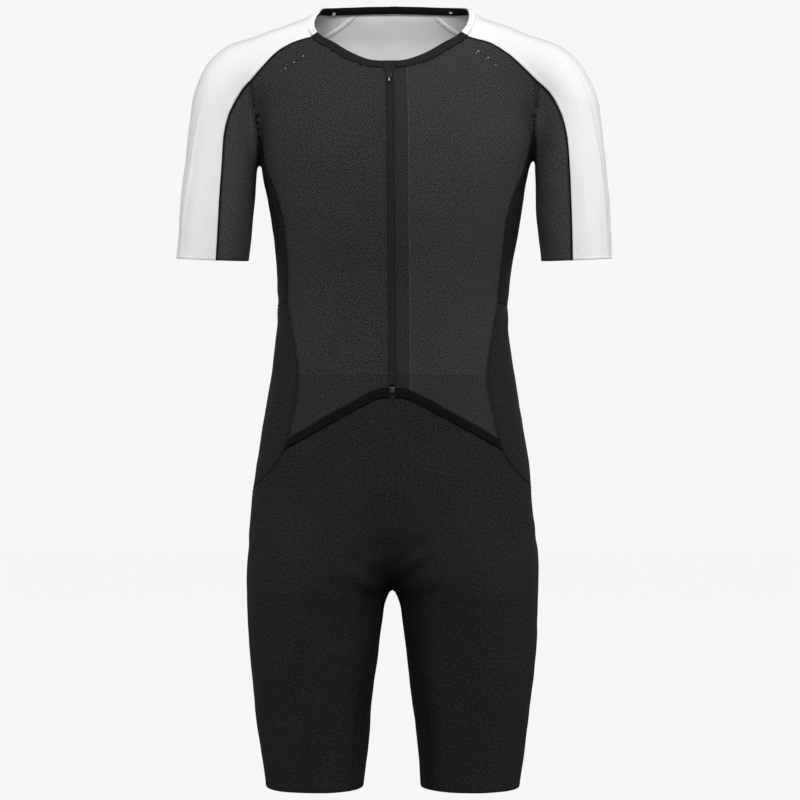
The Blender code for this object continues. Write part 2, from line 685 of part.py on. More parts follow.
def cut_suit():
    """All seam lines of the left half, by name."""
    s = SimpleNamespace()
    tip, tip_back = neckline([NECK_RAGLAN_FRONT, NECK_RAGLAN_BACK])
    marks = (BINDING_WHITE, BINDING_DARK)
    s.raglan = view_line(FRONT, RAGLAN, fixed=marks, start=tip)
    s.raglan_back = view_line(BACK, RAGLAN_BACK, -1, fixed=marks[:1], start=tip_back)
    front_turn, back_turn = armhole_turn(s.raglan[-1]), armhole_turn(s.raglan_back[-1])
    s.armhole_front = armhole(front_turn, ARMHOLE_MARK)
    s.armhole_under = armhole(ARMHOLE_MARK, 180 - ARMHOLE_MARK)
    s.armhole_back = armhole(180 - ARMHOLE_MARK, back_turn)
    s.armhole_front[0] = s.raglan[-1]
    s.armhole_back[-1] = s.raglan_back[-1]
    for name in ("armhole_front", "armhole_under", "armhole_back"):
        setattr(s, name, spaced(getattr(s, name), ARMHOLE_STEP))

    cuff = cuff_at([-CUFF_TURN, CUFF_TURN])
    s.sleeve = view_line(FRONT, SLEEVE_SEAM, start=s.raglan[-1], end=cuff[0])
    s.sleeve_back = view_line(BACK, SLEEVE_SEAM, -1, start=s.raglan_back[-1], end=cuff[1])
    s.cuff_outer = spaced(cuff_at(np.linspace(-CUFF_TURN, CUFF_TURN, 80)), FINE_STEP)
    s.cuff_inner = spaced(cuff_at(np.linspace(CUFF_TURN, 360 - CUFF_TURN, 80)), FINE_STEP)
    for line, ends in ((s.cuff_outer, cuff), (s.cuff_inner, cuff[::-1])):
        line[0], line[-1] = ends

    s.side = view_line(FRONT, SIDE_SEAM, start=s.armhole_front[-1])
    s.side_back = view_line(BACK, SIDE_SEAM, -1, start=s.armhole_back[0])
    hip = view_line(FRONT, HIP_SEAM, step=4, start=s.side[-1])
    mark = length_to(hip, hip[:, 2] < band_edge(hip[:, 0], BAND_WIDTH))
    s.hip = spaced(hip, EDGE_STEP, (mark,))
    s.band_mark = point_at(hip, mark)
    hip_back = view_line(BACK, HIP_BACK, -1, step=4, start=s.side_back[-1])
    mark = length_to(hip_back, hip_back[:, 2] < WAIST_BACK_Z)
    s.hip_back = spaced(hip_back, EDGE_STEP, (mark,))
    s.waist_mark = point_at(hip_back, mark)
    turns = [fan_back(p[None])[0][0] / FAN_SCALE for p in (s.side[-1], s.side_back[-1])]
    middle = (math.degrees(sum(turns) / 2), SIDE_SEAM[-1][1] - PEAK_DIP)
    s.peak = fan_line([middle], start=s.side[-1], end=s.side_back[-1])

    s.hip_bottom = fan_line(HIP_BOTTOM, start=s.hip[-1])
    s.hip_bottom_back = fan_line(HIP_BOTTOM_BACK, start=s.hip_bottom[-1], end=s.hip_back[-1])
    down = [(SIDE_TURN, z) for z in np.linspace(SIDE_Z, HEM_Z, 13)[1:]]
    s.outseam = fan_line(down, start=s.hip_bottom[-1])
    s.middle_front = middle_line(band_edge(0.0, BAND_WIDTH), CROTCH_FRONT, -1)
    s.middle_back = middle_line(WAIST_BACK_Z, CROTCH_BACK, 1)
    s.inseam = view_line(FRONT, INNER_SEAM, start=s.middle_front[-1])
    s.inseam_back = view_line(BACK, INNER_SEAM, -1, start=s.middle_back[-1])
    y = np.linspace(CROTCH_BACK, CROTCH_FRONT, 12)
    s.crotch = settle(arch_there(y, 0 * y))
    s.crotch[0], s.crotch[-1] = s.middle_back[-1], s.middle_front[-1]
    s.crotch[:, 0] = 0
    s.crotch = spaced(s.crotch)
    front, back, side = s.inseam[-1], s.inseam_back[-1], s.outseam[-1]
    turn_front, turn_back = fan_back(front[None])[0][0], fan_back_rear(back[None])[0][0]
    to_degrees = math.degrees(1 / FAN_SCALE)
    s.hem_front = hem(turn_front * to_degrees, SIDE_TURN, front, side)
    s.hem_back = hem(SIDE_TURN, turn_back * to_degrees, side, back)
    s.hem_inner = hem(turn_back * to_degrees, turn_front * to_degrees + 360, back, front)

    s.neck_front = zip_start(spaced(neckline(np.linspace(6, NECK_RAGLAN_FRONT, 60)), FINE_STEP))
    s.neck_side = spaced(neckline(np.linspace(NECK_RAGLAN_FRONT, NECK_RAGLAN_BACK, 60)), FINE_STEP)
    s.neck_back = spaced(neckline(np.linspace(NECK_RAGLAN_BACK, 180, 60)), FINE_STEP)
    s.neck_back[-1][0] = 0
    s.binding_front = beside(s.neck_front, -BINDING_DARK, last=point_at(s.raglan, BINDING_DARK))
    s.binding_front = zip_start(s.binding_front)
    ends = point_at(s.raglan, BINDING_WHITE), point_at(s.raglan_back, BINDING_WHITE)
    s.binding_side = beside(s.neck_side, -BINDING_WHITE, *ends)
    s.binding_back = beside(s.neck_back, -BINDING_WHITE, s.binding_side[-1])
    s.binding_back[-1][0] = 0

    x = np.concatenate([np.linspace(ZIP_EDGE, 30, 4), np.linspace(42, s.band_mark[0], 8)])
    s.band_top = FRONT.there(x, band_edge(x, BAND_WIDTH))
    s.band_top[-1] = s.band_mark
    x = np.concatenate([np.linspace(ZIP_EDGE, 26, 4), np.linspace(38, BAND_END[0], 8)])
    s.band_bottom = FRONT.there(x, band_edge(x))
    s.band_bottom[-1] = s.hip[-1]
    z = np.concatenate([np.linspace(s.binding_front[0][2], -92, 3), np.linspace(-110, s.band_top[0][2], 24)])
    s.zip = FRONT.there(zip_edge(z), z)
    s.zip[0], s.zip[-1] = s.binding_front[0], s.band_top[0]
    x = np.linspace(s.armhole_back[0][0], 0, 14)
    z = s.armhole_back[0][2] + (1 - (x / x[0]) ** 2) * -6
    s.yoke = BACK.there(-x, z)
    s.yoke[0], s.yoke[-1][0] = s.armhole_back[0], 0
    x = np.linspace(s.waist_mark[0], 0, 10)
    s.waist = BACK.there(-x, WAIST_BACK_Z + 0 * x)
    s.waist[0], s.waist[-1] = s.waist_mark, s.middle_back[0]
    return s


def hem(first, last, start, end):
    line = fan_there(FAN_SCALE * np.radians(np.linspace(first, last, 60)), np.full(60, HEM_Z))
    line[0], line[-1] = start, end
    return spaced(line, FINE_STEP)


def zip_start(line):
    """The same line with its first point moved onto the fabric's edge beside the zip."""
    z = line[0][2]
    line[0] = FRONT.there(np.array([zip_edge(z)]), np.array([z]))[0]
    return line


# ---- Build ----

SUIT = bpy.data.collections.new("triathlon_suit")
TOOLS = bpy.data.collections.new("cutters")


def material(name):
    colour, roughness = COLOURS[name]
    made = bpy.data.materials.new(name)
    made.use_nodes = True
    shader = made.node_tree.nodes["Principled BSDF"]
    shader.inputs["Base Color"].default_value = (*colour, 1)
    shader.inputs["Roughness"].default_value = roughness
    shader.inputs["Metallic"].default_value = 1.0 if name == "zip_metal" else 0.0
    return made


def top_pieces(s, look):
    """Fronts, sleeves, upper sides, back and yoke."""
    front = (
        s.zip,
        s.band_top,
        part_of(s.hip, s.band_mark, s.hip[0]),
        s.side[::-1],
        s.armhole_front[::-1],
        part_of(s.raglan, s.raglan[-1], s.binding_front[-1]),
        s.binding_front[::-1],
    )
    cloth("front", FRONT, front, look["mesh_knit"], mirror=True)
    top = (
        part_of(s.raglan, s.binding_side[0], s.raglan[-1]),
        s.sleeve,
        s.cuff_outer,
        s.sleeve_back[::-1],
        part_of(s.raglan_back, s.raglan_back[-1], s.binding_side[-1]),
        s.binding_side[::-1],
    )
    cloth("sleeve_top", SLEEVE_TOP, top, look["white_knit"], mirror=True)
    under = (
        s.sleeve_back,
        s.cuff_inner,
        s.sleeve[::-1],
        s.armhole_front,
        s.armhole_under,
        s.armhole_back,
    )
    cloth("sleeve_under", SLEEVE_UNDER, under, look["smooth_knit"], mirror=True)
    side = (s.armhole_under, s.side_back, s.peak[::-1], s.side[::-1])
    cloth("side_panel", FAN, side, look["smooth_knit"], mirror=True)
    yoke = (
        s.binding_back,
        middle_between(s.binding_back[-1], s.yoke[-1]),
        s.yoke[::-1],
        s.armhole_back,
        part_of(s.raglan_back, s.raglan_back[-1], s.binding_back[0]),
    )
    cloth("back_yoke", BACK, yoke, look["white_knit"], flat=True)
    back = (
        s.yoke,
        middle_between(s.yoke[-1], s.waist[-1]),
        s.waist[::-1],
        part_of(s.hip_back, s.waist_mark, s.hip_back[0]),
        s.side_back[::-1],
    )
    cloth("back_body", BACK, back, look["smooth_knit"], flat=True)


def middle_between(start, end):
    """The line in the middle of the back between two heights."""
    z = np.linspace(start[2], end[2], 40)
    line = BACK.there(0 * z, z)
    line[0], line[-1] = start, end
    line[:, 0] = 0
    return spaced(line)


def shorts_pieces(s, look):
    """Hip sides, shorts front and back, and the gusset."""
    hip = (s.peak, s.hip_back, s.hip_bottom_back[::-1], s.hip_bottom[::-1], s.hip[::-1])
    cloth("hip_side", FAN, hip, look["shorts_jersey"], mirror=True)
    top_edge = np.concatenate([s.middle_front[:1], s.band_top])
    front = (
        s.middle_front,
        s.inseam,
        s.hem_front,
        s.outseam[::-1],
        s.hip_bottom[::-1],
        part_of(s.hip, s.hip[-1], s.band_mark),
        top_edge[::-1],
    )
    cloth("shorts_front", FAN, front, look["shorts_jersey"], flat=True)
    back = (
        s.waist[::-1],
        part_of(s.hip_back, s.waist_mark, s.hip_back[-1]),
        s.hip_bottom_back[::-1],
        s.outseam,
        s.hem_back,
        s.inseam_back[::-1],
        s.middle_back[::-1],
    )
    cloth("shorts_back", REAR_FAN, back, look["shorts_jersey"], flat=True)
    gusset = (s.crotch, s.inseam, s.hem_inner[::-1], s.inseam_back[::-1])
    cloth("gusset", ARCH, gusset, look["shorts_jersey"], flat=True)


def trims(s, look):
    """Neck bindings and tape, and the hem band of the front."""
    front = (s.neck_front, s.binding_front)
    cloth("neck_binding_front", None, front, look["black_tape"], mirror=True, **BINDING)
    neck = np.concatenate([s.neck_side, s.neck_back[1:]])
    edge = np.concatenate([s.binding_side, s.binding_back[1:]])
    cloth("neck_binding_back", None, (neck, edge), look["white_knit"], flat=True, **BINDING)
    upper = neck[neck[:, 2] > NECK.z(TAPE_START)]
    lower = beside(upper, -NECK_TAPE)
    lower[-1][0] = 0
    under = BINDING["lift"] - BINDING["wall"] - 4 * LAYER_GAP
    cloth("neck_tape_back", None, (upper, lower), look["black_tape"], wall=TAPE_WALL, lift=under, flat=True)
    band = (s.band_top, s.band_bottom)
    lift = BAND_WALL + LAYER_GAP
    cloth("hem_band", None, band, look["black_tape"], wall=BAND_WALL, lift=lift, mirror=True)


def cube(name, size, middle, material, bevel=0.3):
    """A block of a size round a middle, in millimetres of the piece's own frame, with rounded edges."""
    bpy.ops.mesh.primitive_cube_add(size=1)
    obj = bpy.context.object
    obj.name = obj.data.name = name
    for v in obj.data.vertices:
        v.co = Vector([(m + v.co[k] * d) * MM for k, (m, d) in enumerate(zip(middle, size))])
    for collection in obj.users_collection:
        collection.objects.unlink(obj)
    SUIT.objects.link(obj)
    obj.data.materials.append(material)
    if bevel:
        rounding = obj.modifiers.new("edges", "BEVEL")
        rounding.width = bevel * MM
        rounding.segments = 2
    return obj


def cut_or_join(obj, tool, operation):
    """Boolean with another block, which is then a hidden tool."""
    step = obj.modifiers.new(operation.lower(), "BOOLEAN")
    step.operation = operation
    step.object = tool
    SUIT.objects.unlink(tool)
    TOOLS.objects.link(tool)
    tool.hide_render = True
    tool.display_type = "WIRE"


def front_strip(inner, outer, z):
    """Two lines on the front at distances from its middle, from one height to another."""
    sides = FRONT.there(inner + 0 * z, z), FRONT.there(outer + 0 * z, z)
    if np.isscalar(inner):
        sides[0][:, 0] = inner
    return sides


def zip_pieces(look):
    """Tapes, chain, guard, slider, stop and pull tab, all on the line of the front's middle."""
    under_front = -WALL - LAYER_GAP
    z = np.linspace(ZIP_TOP, ZIP_END, 34)
    sides = front_strip(zip_edge(z) - ZIP_EDGE + 1.2, ZIP_TAPE, z)
    cloth("zip_tape", None, sides, look["black_tape"], wall=TAPE_WALL, lift=under_front, mirror=True)
    z = np.linspace(SLIDER_Z - SLIDER_SIZE[2] / 2 - 0.6, CHAIN_END, 40)
    sides = front_strip(0, CHAIN_WIDTH / 2, z)
    cloth("zip_chain", None, sides, look["zip_plastic"], wall=CHAIN_THICKNESS, lift=0.3, flat=True)
    sides = front_strip(0, GUARD_WIDTH / 2, np.linspace(*GUARD_ENDS, 5))
    under_tape = under_front - TAPE_WALL - LAYER_GAP
    cloth("zip_guard", None, sides, look["black_tape"], wall=TAPE_WALL, lift=under_tape, flat=True)

    # Blocks in a frame of their own: x across, y into the body, z up along the cloth.
    metal = look["zip_metal"]
    slider = cube("zip_slider", SLIDER_SIZE, (0, -0.1, 0.1), metal, 0.7)
    bridge = cube("slider_bridge", BRIDGE_SIZE, (0, -2.9, -0.7), metal, 0.25)
    window = cube("slider_window", (3, 1.9, 4.6), (0, -2.55, -0.7), metal, 0)
    cut_or_join(bridge, window, "DIFFERENCE")
    cut_or_join(slider, bridge, "UNION")
    for block in (slider, bridge, window):
        lay(block, SLIDER_Z)
    stop = cube("zip_stop", STOP_SIZE, (0, -1.7, -STOP_SIZE[2] / 2), metal, 0.4)
    lay(stop, STOP_Z)

    pull = cube("zip_pull", PULL_SIZE, (0, 0, 0.6 - PULL_SIZE[2] / 2), metal, 0.35)
    eye = cube("pull_eye", PULL_EYE, (0, 0, -0.6 - PULL_EYE[2] / 2), metal, 0)
    cut_or_join(pull, eye, "DIFFERENCE")
    for block in (pull, eye):
        lay(block, SLIDER_Z, PULL_AXIS)


def lay(obj, z, shift=(0, 0)):
    """Places a block on the front's middle line at a height, turned to the slope of the cloth there."""
    spot = FRONT.there(np.zeros(1), np.full(1, float(z)))
    out = normals(spot)[0]
    slope = math.atan2(out[2], -out[1])  # the cloth leans back by this at its top
    y = shift[0] * math.cos(slope) + shift[1] * math.sin(slope)
    up = shift[1] * math.cos(slope) - shift[0] * math.sin(slope)
    obj.rotation_euler = (-slope, 0, 0)
    obj.location = (Vector(spot[0]) + Vector((0, y, up))) * MM


def build():
    for obj in list(bpy.data.objects):
        bpy.data.objects.remove(obj)
    bpy.context.scene.collection.children.link(SUIT)
    bpy.context.scene.collection.children.link(TOOLS)
    look = {name: material(name) for name in COLOURS}
    s = cut_suit()
    top_pieces(s, look)
    shorts_pieces(s, look)
    trims(s, look)
    zip_pieces(look)


build()
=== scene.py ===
import math
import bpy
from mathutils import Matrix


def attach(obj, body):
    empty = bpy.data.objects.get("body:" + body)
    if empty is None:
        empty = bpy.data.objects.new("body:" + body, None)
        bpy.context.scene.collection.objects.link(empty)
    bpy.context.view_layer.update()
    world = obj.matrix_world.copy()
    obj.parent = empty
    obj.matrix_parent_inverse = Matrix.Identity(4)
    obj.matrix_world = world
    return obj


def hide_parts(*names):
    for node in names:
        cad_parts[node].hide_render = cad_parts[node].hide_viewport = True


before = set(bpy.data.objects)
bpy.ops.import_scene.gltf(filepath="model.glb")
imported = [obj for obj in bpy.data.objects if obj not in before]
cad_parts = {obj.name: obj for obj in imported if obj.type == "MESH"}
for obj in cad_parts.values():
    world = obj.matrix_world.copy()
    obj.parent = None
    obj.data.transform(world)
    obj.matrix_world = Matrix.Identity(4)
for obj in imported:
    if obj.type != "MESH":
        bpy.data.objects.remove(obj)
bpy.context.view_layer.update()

from types import SimpleNamespace

import bmesh
import bpy
import numpy as np
from mathutils.kdtree import KDTree

# A short-sleeved triathlon suit, filled out as when it is worn. Lengths are millimetres until a mesh is made.
mm = 0.001
scene = bpy.context.scene
print("suit: frame loaded,", len(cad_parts), "nodes")


# The smooth figure that every panel lies on

def smoothTable(names, *rows):
    # one smooth curve for each named column, placed by the first column
    rows = np.array(sorted(rows), float)
    place = rows[:, 0]

    def curve(values):
        slope = np.gradient(values, place)

        def read(at):
            at = np.clip(at, place[0], place[-1])
            i = np.clip(np.searchsorted(place, at) - 1, 0, len(place) - 2)
            step = place[i + 1] - place[i]
            t = (at - place[i]) / step
            start = (1 + 2 * t) * (1 - t) ** 2 * values[i] + t * (1 - t) ** 2 * step * slope[i]
            return start + t * t * (3 - 2 * t) * values[i + 1] + t * t * (t - 1) * step * slope[i + 1]

        return read

    return SimpleNamespace(**{name: curve(rows[:, k]) for k, name in enumerate(names.split()) if k})


def lengthAlong(line):
    return np.concatenate([[0], np.cumsum(np.linalg.norm(np.diff(line, axis=0), axis=1))])


def readLine(line, length, at):
    # the points of a line at given lengths along it
    return np.stack([np.interp(at, length, column) for column in line.T], -1)


def unit(v):
    return v / np.linalg.norm(v, axis=-1, keepdims=True)


def turns(count):
    return np.arange(count) * 2 * math.pi / count


trunk = smoothTable(
    "z halfWidth middle front back power",
    (40, 60, 24, 26, 26, 2),
    (14, 86, 22, 34, 36, 2),
    (4, 95, 20, 38, 41, 2),
    (-10, 118, 18, 46, 50, 2),
    (-27, 140, 16, 57, 61, 2),
    (-48, 154, 13, 69, 72, 2.05),
    (-69, 163, 10, 77, 81, 2.1),
    (-100, 169, 6, 93, 92, 2.2),
    (-135, 170, 0, 105, 102, 2.3),
    (-165, 168, -4, 110, 105, 2.35),
    (-194, 165, -6, 113, 104, 2.35),
    (-231, 157.5, -8, 112, 102, 2.35),
    (-280, 149.5, -10, 104, 96, 2.35),
    (-330, 143, -10, 94, 88, 2.35),
    (-380, 142, -10, 89, 82, 2.35),
    (-430, 147, -8, 91, 82, 2.35),
    (-480, 155.5, -5, 96, 88, 2.35),
    (-540, 165.5, 0, 103, 99, 2.35),
    (-600, 173, 4, 108, 109, 2.3),
    (-665, 177.5, 6, 108, 113, 2.2),
    (-730, 179, 8, 100, 105, 2.2),
)
leg = smoothTable(
    "z x y halfWidth depth",
    (-560, 78, 3, 88, 104),
    (-640, 80, 4, 97.5, 108),
    (-700, 87.6, 5, 92.6, 104),
    (-712, 91.4, 5, 88.9, 102),
    (-725, 94, 5, 86, 99),
    (-750, 95.7, 5, 83.4, 95),
    (-799, 97.3, 4, 78.7, 87),
    (-849, 97.6, 3, 72.9, 79),
    (-898, 97.2, 3, 67.4, 72),
    (-947, 96.2, 3, 61.5, 66),
    (-1000, 94, 3, 57, 62),
)
legBlend = smoothTable(
    "z fillet share",
    (-725, 8, 1),
    (-712, 10, 1),
    (-690, 22, 0.93),
    (-640, 50, 0.5),
    (-585, 60, 0),
)
sleeve = smoothTable(
    "s halfWidth y depth",
    (-120, 50, 16, 40),
    (-60, 49, 15, 44),
    (-20, 47, 12, 48),
    (15, 46.5, 9, 51),
    (42, 42, 6, 51),
    (62, 41.3, 4, 50),
    (85, 43, 3, 49),
    (110, 44.3, 2, 49),
    (135, 45, 1, 49),
    (200, 45, -1, 48),
    (240, 44, -2, 47),
)
sleeveFillet = smoothTable(
    "z fillet",
    (-194, 8),
    (-184, 13),
    (-150, 24),
    (-110, 32),
    (-75, 26),
    (-40, 10),
    (0, 8),
)
arm = {  # the sleeve's axis: a line out from the neck, a bend over the shoulder, and a line down
    "shoulderSlope": math.radians(19),
    "armSlope": math.radians(4.3),
    "bendRadius": 52.0,
    "bendMiddle": (159.0, -128.0),
}


def ovalGap(x, y, halfWidth, front, back, power):
    depth = np.where(y < 0, front, back)
    spoke = np.hypot(x, y) + 1e-6
    ratio = (np.abs(x / halfWidth) ** power + np.abs(y / depth) ** power) ** (1 / power) + 1e-8
    return spoke - spoke / ratio


def softUnion(a, b, fillet):
    near = np.clip(fillet - np.abs(a - b), 0, None)
    return np.minimum(a, b) - near * near / (4 * fillet)


def alongArm(x, z):
    # distance along the sleeve's axis, and how far a point is to the outer side of it
    dx = x - arm["bendMiddle"][0]
    dz = z - arm["bendMiddle"][1]
    radius = arm["bendRadius"]
    turn = np.arctan2(dx, dz)
    start = arm["shoulderSlope"]
    end = math.pi / 2 - arm["armSlope"]
    before = (turn < start) | (turn < start - 0.5 * (math.pi + start - end))
    lineS = dx * math.cos(start) - dz * math.sin(start)
    lineOut = dx * math.sin(start) + dz * math.cos(start) - radius
    s = np.where(before, lineS, radius * (turn - start))
    out = np.where(before, lineOut, np.hypot(dx, dz) - radius)
    armS = dx * math.cos(end) - dz * math.sin(end) + radius * (end - start)
    armOut = dx * math.sin(end) + dz * math.cos(end) - radius
    return np.where(turn > end, armS, s), np.where(turn > end, armOut, out)


def figureGap(p):
    # how far points are outside the figure
    x, y, z = np.abs(p[:, 0]), p[:, 1], p[:, 2]
    middle = trunk.middle(z)
    body = ovalGap(x, y - middle, trunk.halfWidth(z), trunk.front(z), trunk.back(z), trunk.power(z))
    low = z < -560
    if low.any():
        xl, zl = x[low], z[low]
        depth, half, yl = leg.depth(zl), leg.halfWidth(zl), y[low] - leg.y(zl)
        near = ovalGap(xl - leg.x(zl), yl, half, depth, depth, 2.15)
        far = ovalGap(xl + leg.x(zl), yl, half, depth, depth, 2.15)
        share = np.clip(legBlend.share(zl), 0, 1)
        body[low] += share * (softUnion(near, far, legBlend.fillet(zl)) - body[low])
    high = z > -420
    if high.any():
        s, out = alongArm(x[high], z[high])
        depth = sleeve.depth(s)
        tube = ovalGap(out, y[high] - sleeve.y(s), sleeve.halfWidth(s), depth, depth, 2.0)
        body[high] = softUnion(body[high], tube, sleeveFillet.fillet(z[high]))
    return body


def figureNormals(p, step=0.4):
    n = np.zeros_like(p)
    for axis in range(3):
        d = np.zeros(3)
        d[axis] = step
        n[:, axis] = figureGap(p + d) - figureGap(p - d)
    return unit(n)


def settled(p, rounds=3):
    # points brought onto the figure, and its outward directions there
    for _ in range(rounds):
        n = figureNormals(p)
        slope = (figureGap(p + 0.5 * n) - figureGap(p - 0.5 * n))[:, None]
        p = p - np.clip(figureGap(p)[:, None] / slope, -4, 4) * n
    return p, figureNormals(p)


def smoothStep(low, high, value):
    t = np.clip((value - low) / (high - low), 0, 1)
    return t * t * (3 - 2 * t)


# How far the filled-out suit hangs off true, by height: its zip leans one way and its sides the other.
sway = smoothTable(
    "z middle side",
    (-1000, 0, 0),
    (-700, 0, 0),
    (-560, 0, 0.5),
    (-510, 0.2, 1.1),
    (-460, 0, 0.7),
    (-400, -0.5, 0.5),
    (-354, -0.8, 1.0),
    (-300, -1.1, 2.6),
    (-231, -1.7, 3.5),
    (-191, -2.0, 4.0),
    (-152, -2.4, 3.3),
    (-112, -3.0, 3.4),
    (-80, -4.0, 3.2),
    (-58, -4.9, 2.9),
    (-35, -5.4, 2.6),
    (40, -5.4, 2.4),
)


shoulderRise = 4.8  # how much higher the front of the shoulders is drawn
underarm = {"x": 168, "z": -178, "reach": (10, 50), "below": 20, "above": 53, "rise": 12.0, "side": 3.5}


def swayed(points):
    p = np.array(points, float)
    x, y, z = np.abs(p[:, 0]), p[:, 1], p[:, 2]
    front = 1 - smoothStep(-30, 10, y)
    reach = 110 + 150 * smoothStep(-130, -95, z)
    onFront = (1 - smoothStep(15, reach, x)) * front
    rise = smoothStep(90, 125, x) * (1 - smoothStep(195, 225, x)) * smoothStep(-125, -95, z) * front
    # the wearer's left armpit is drawn up into a point
    top = underarm["z"]
    pull = smoothStep(top - underarm["below"], top, z) * (1 - smoothStep(top, top + underarm["above"], z))
    pull = pull * (1 - smoothStep(*underarm["reach"], np.abs(p[:, 0] - underarm["x"])))
    side = sway.side(z)
    p[:, 0] += side + (sway.middle(z) - side) * onFront + underarm["side"] * pull
    p[:, 2] += shoulderRise * rise + underarm["rise"] * pull
    return p


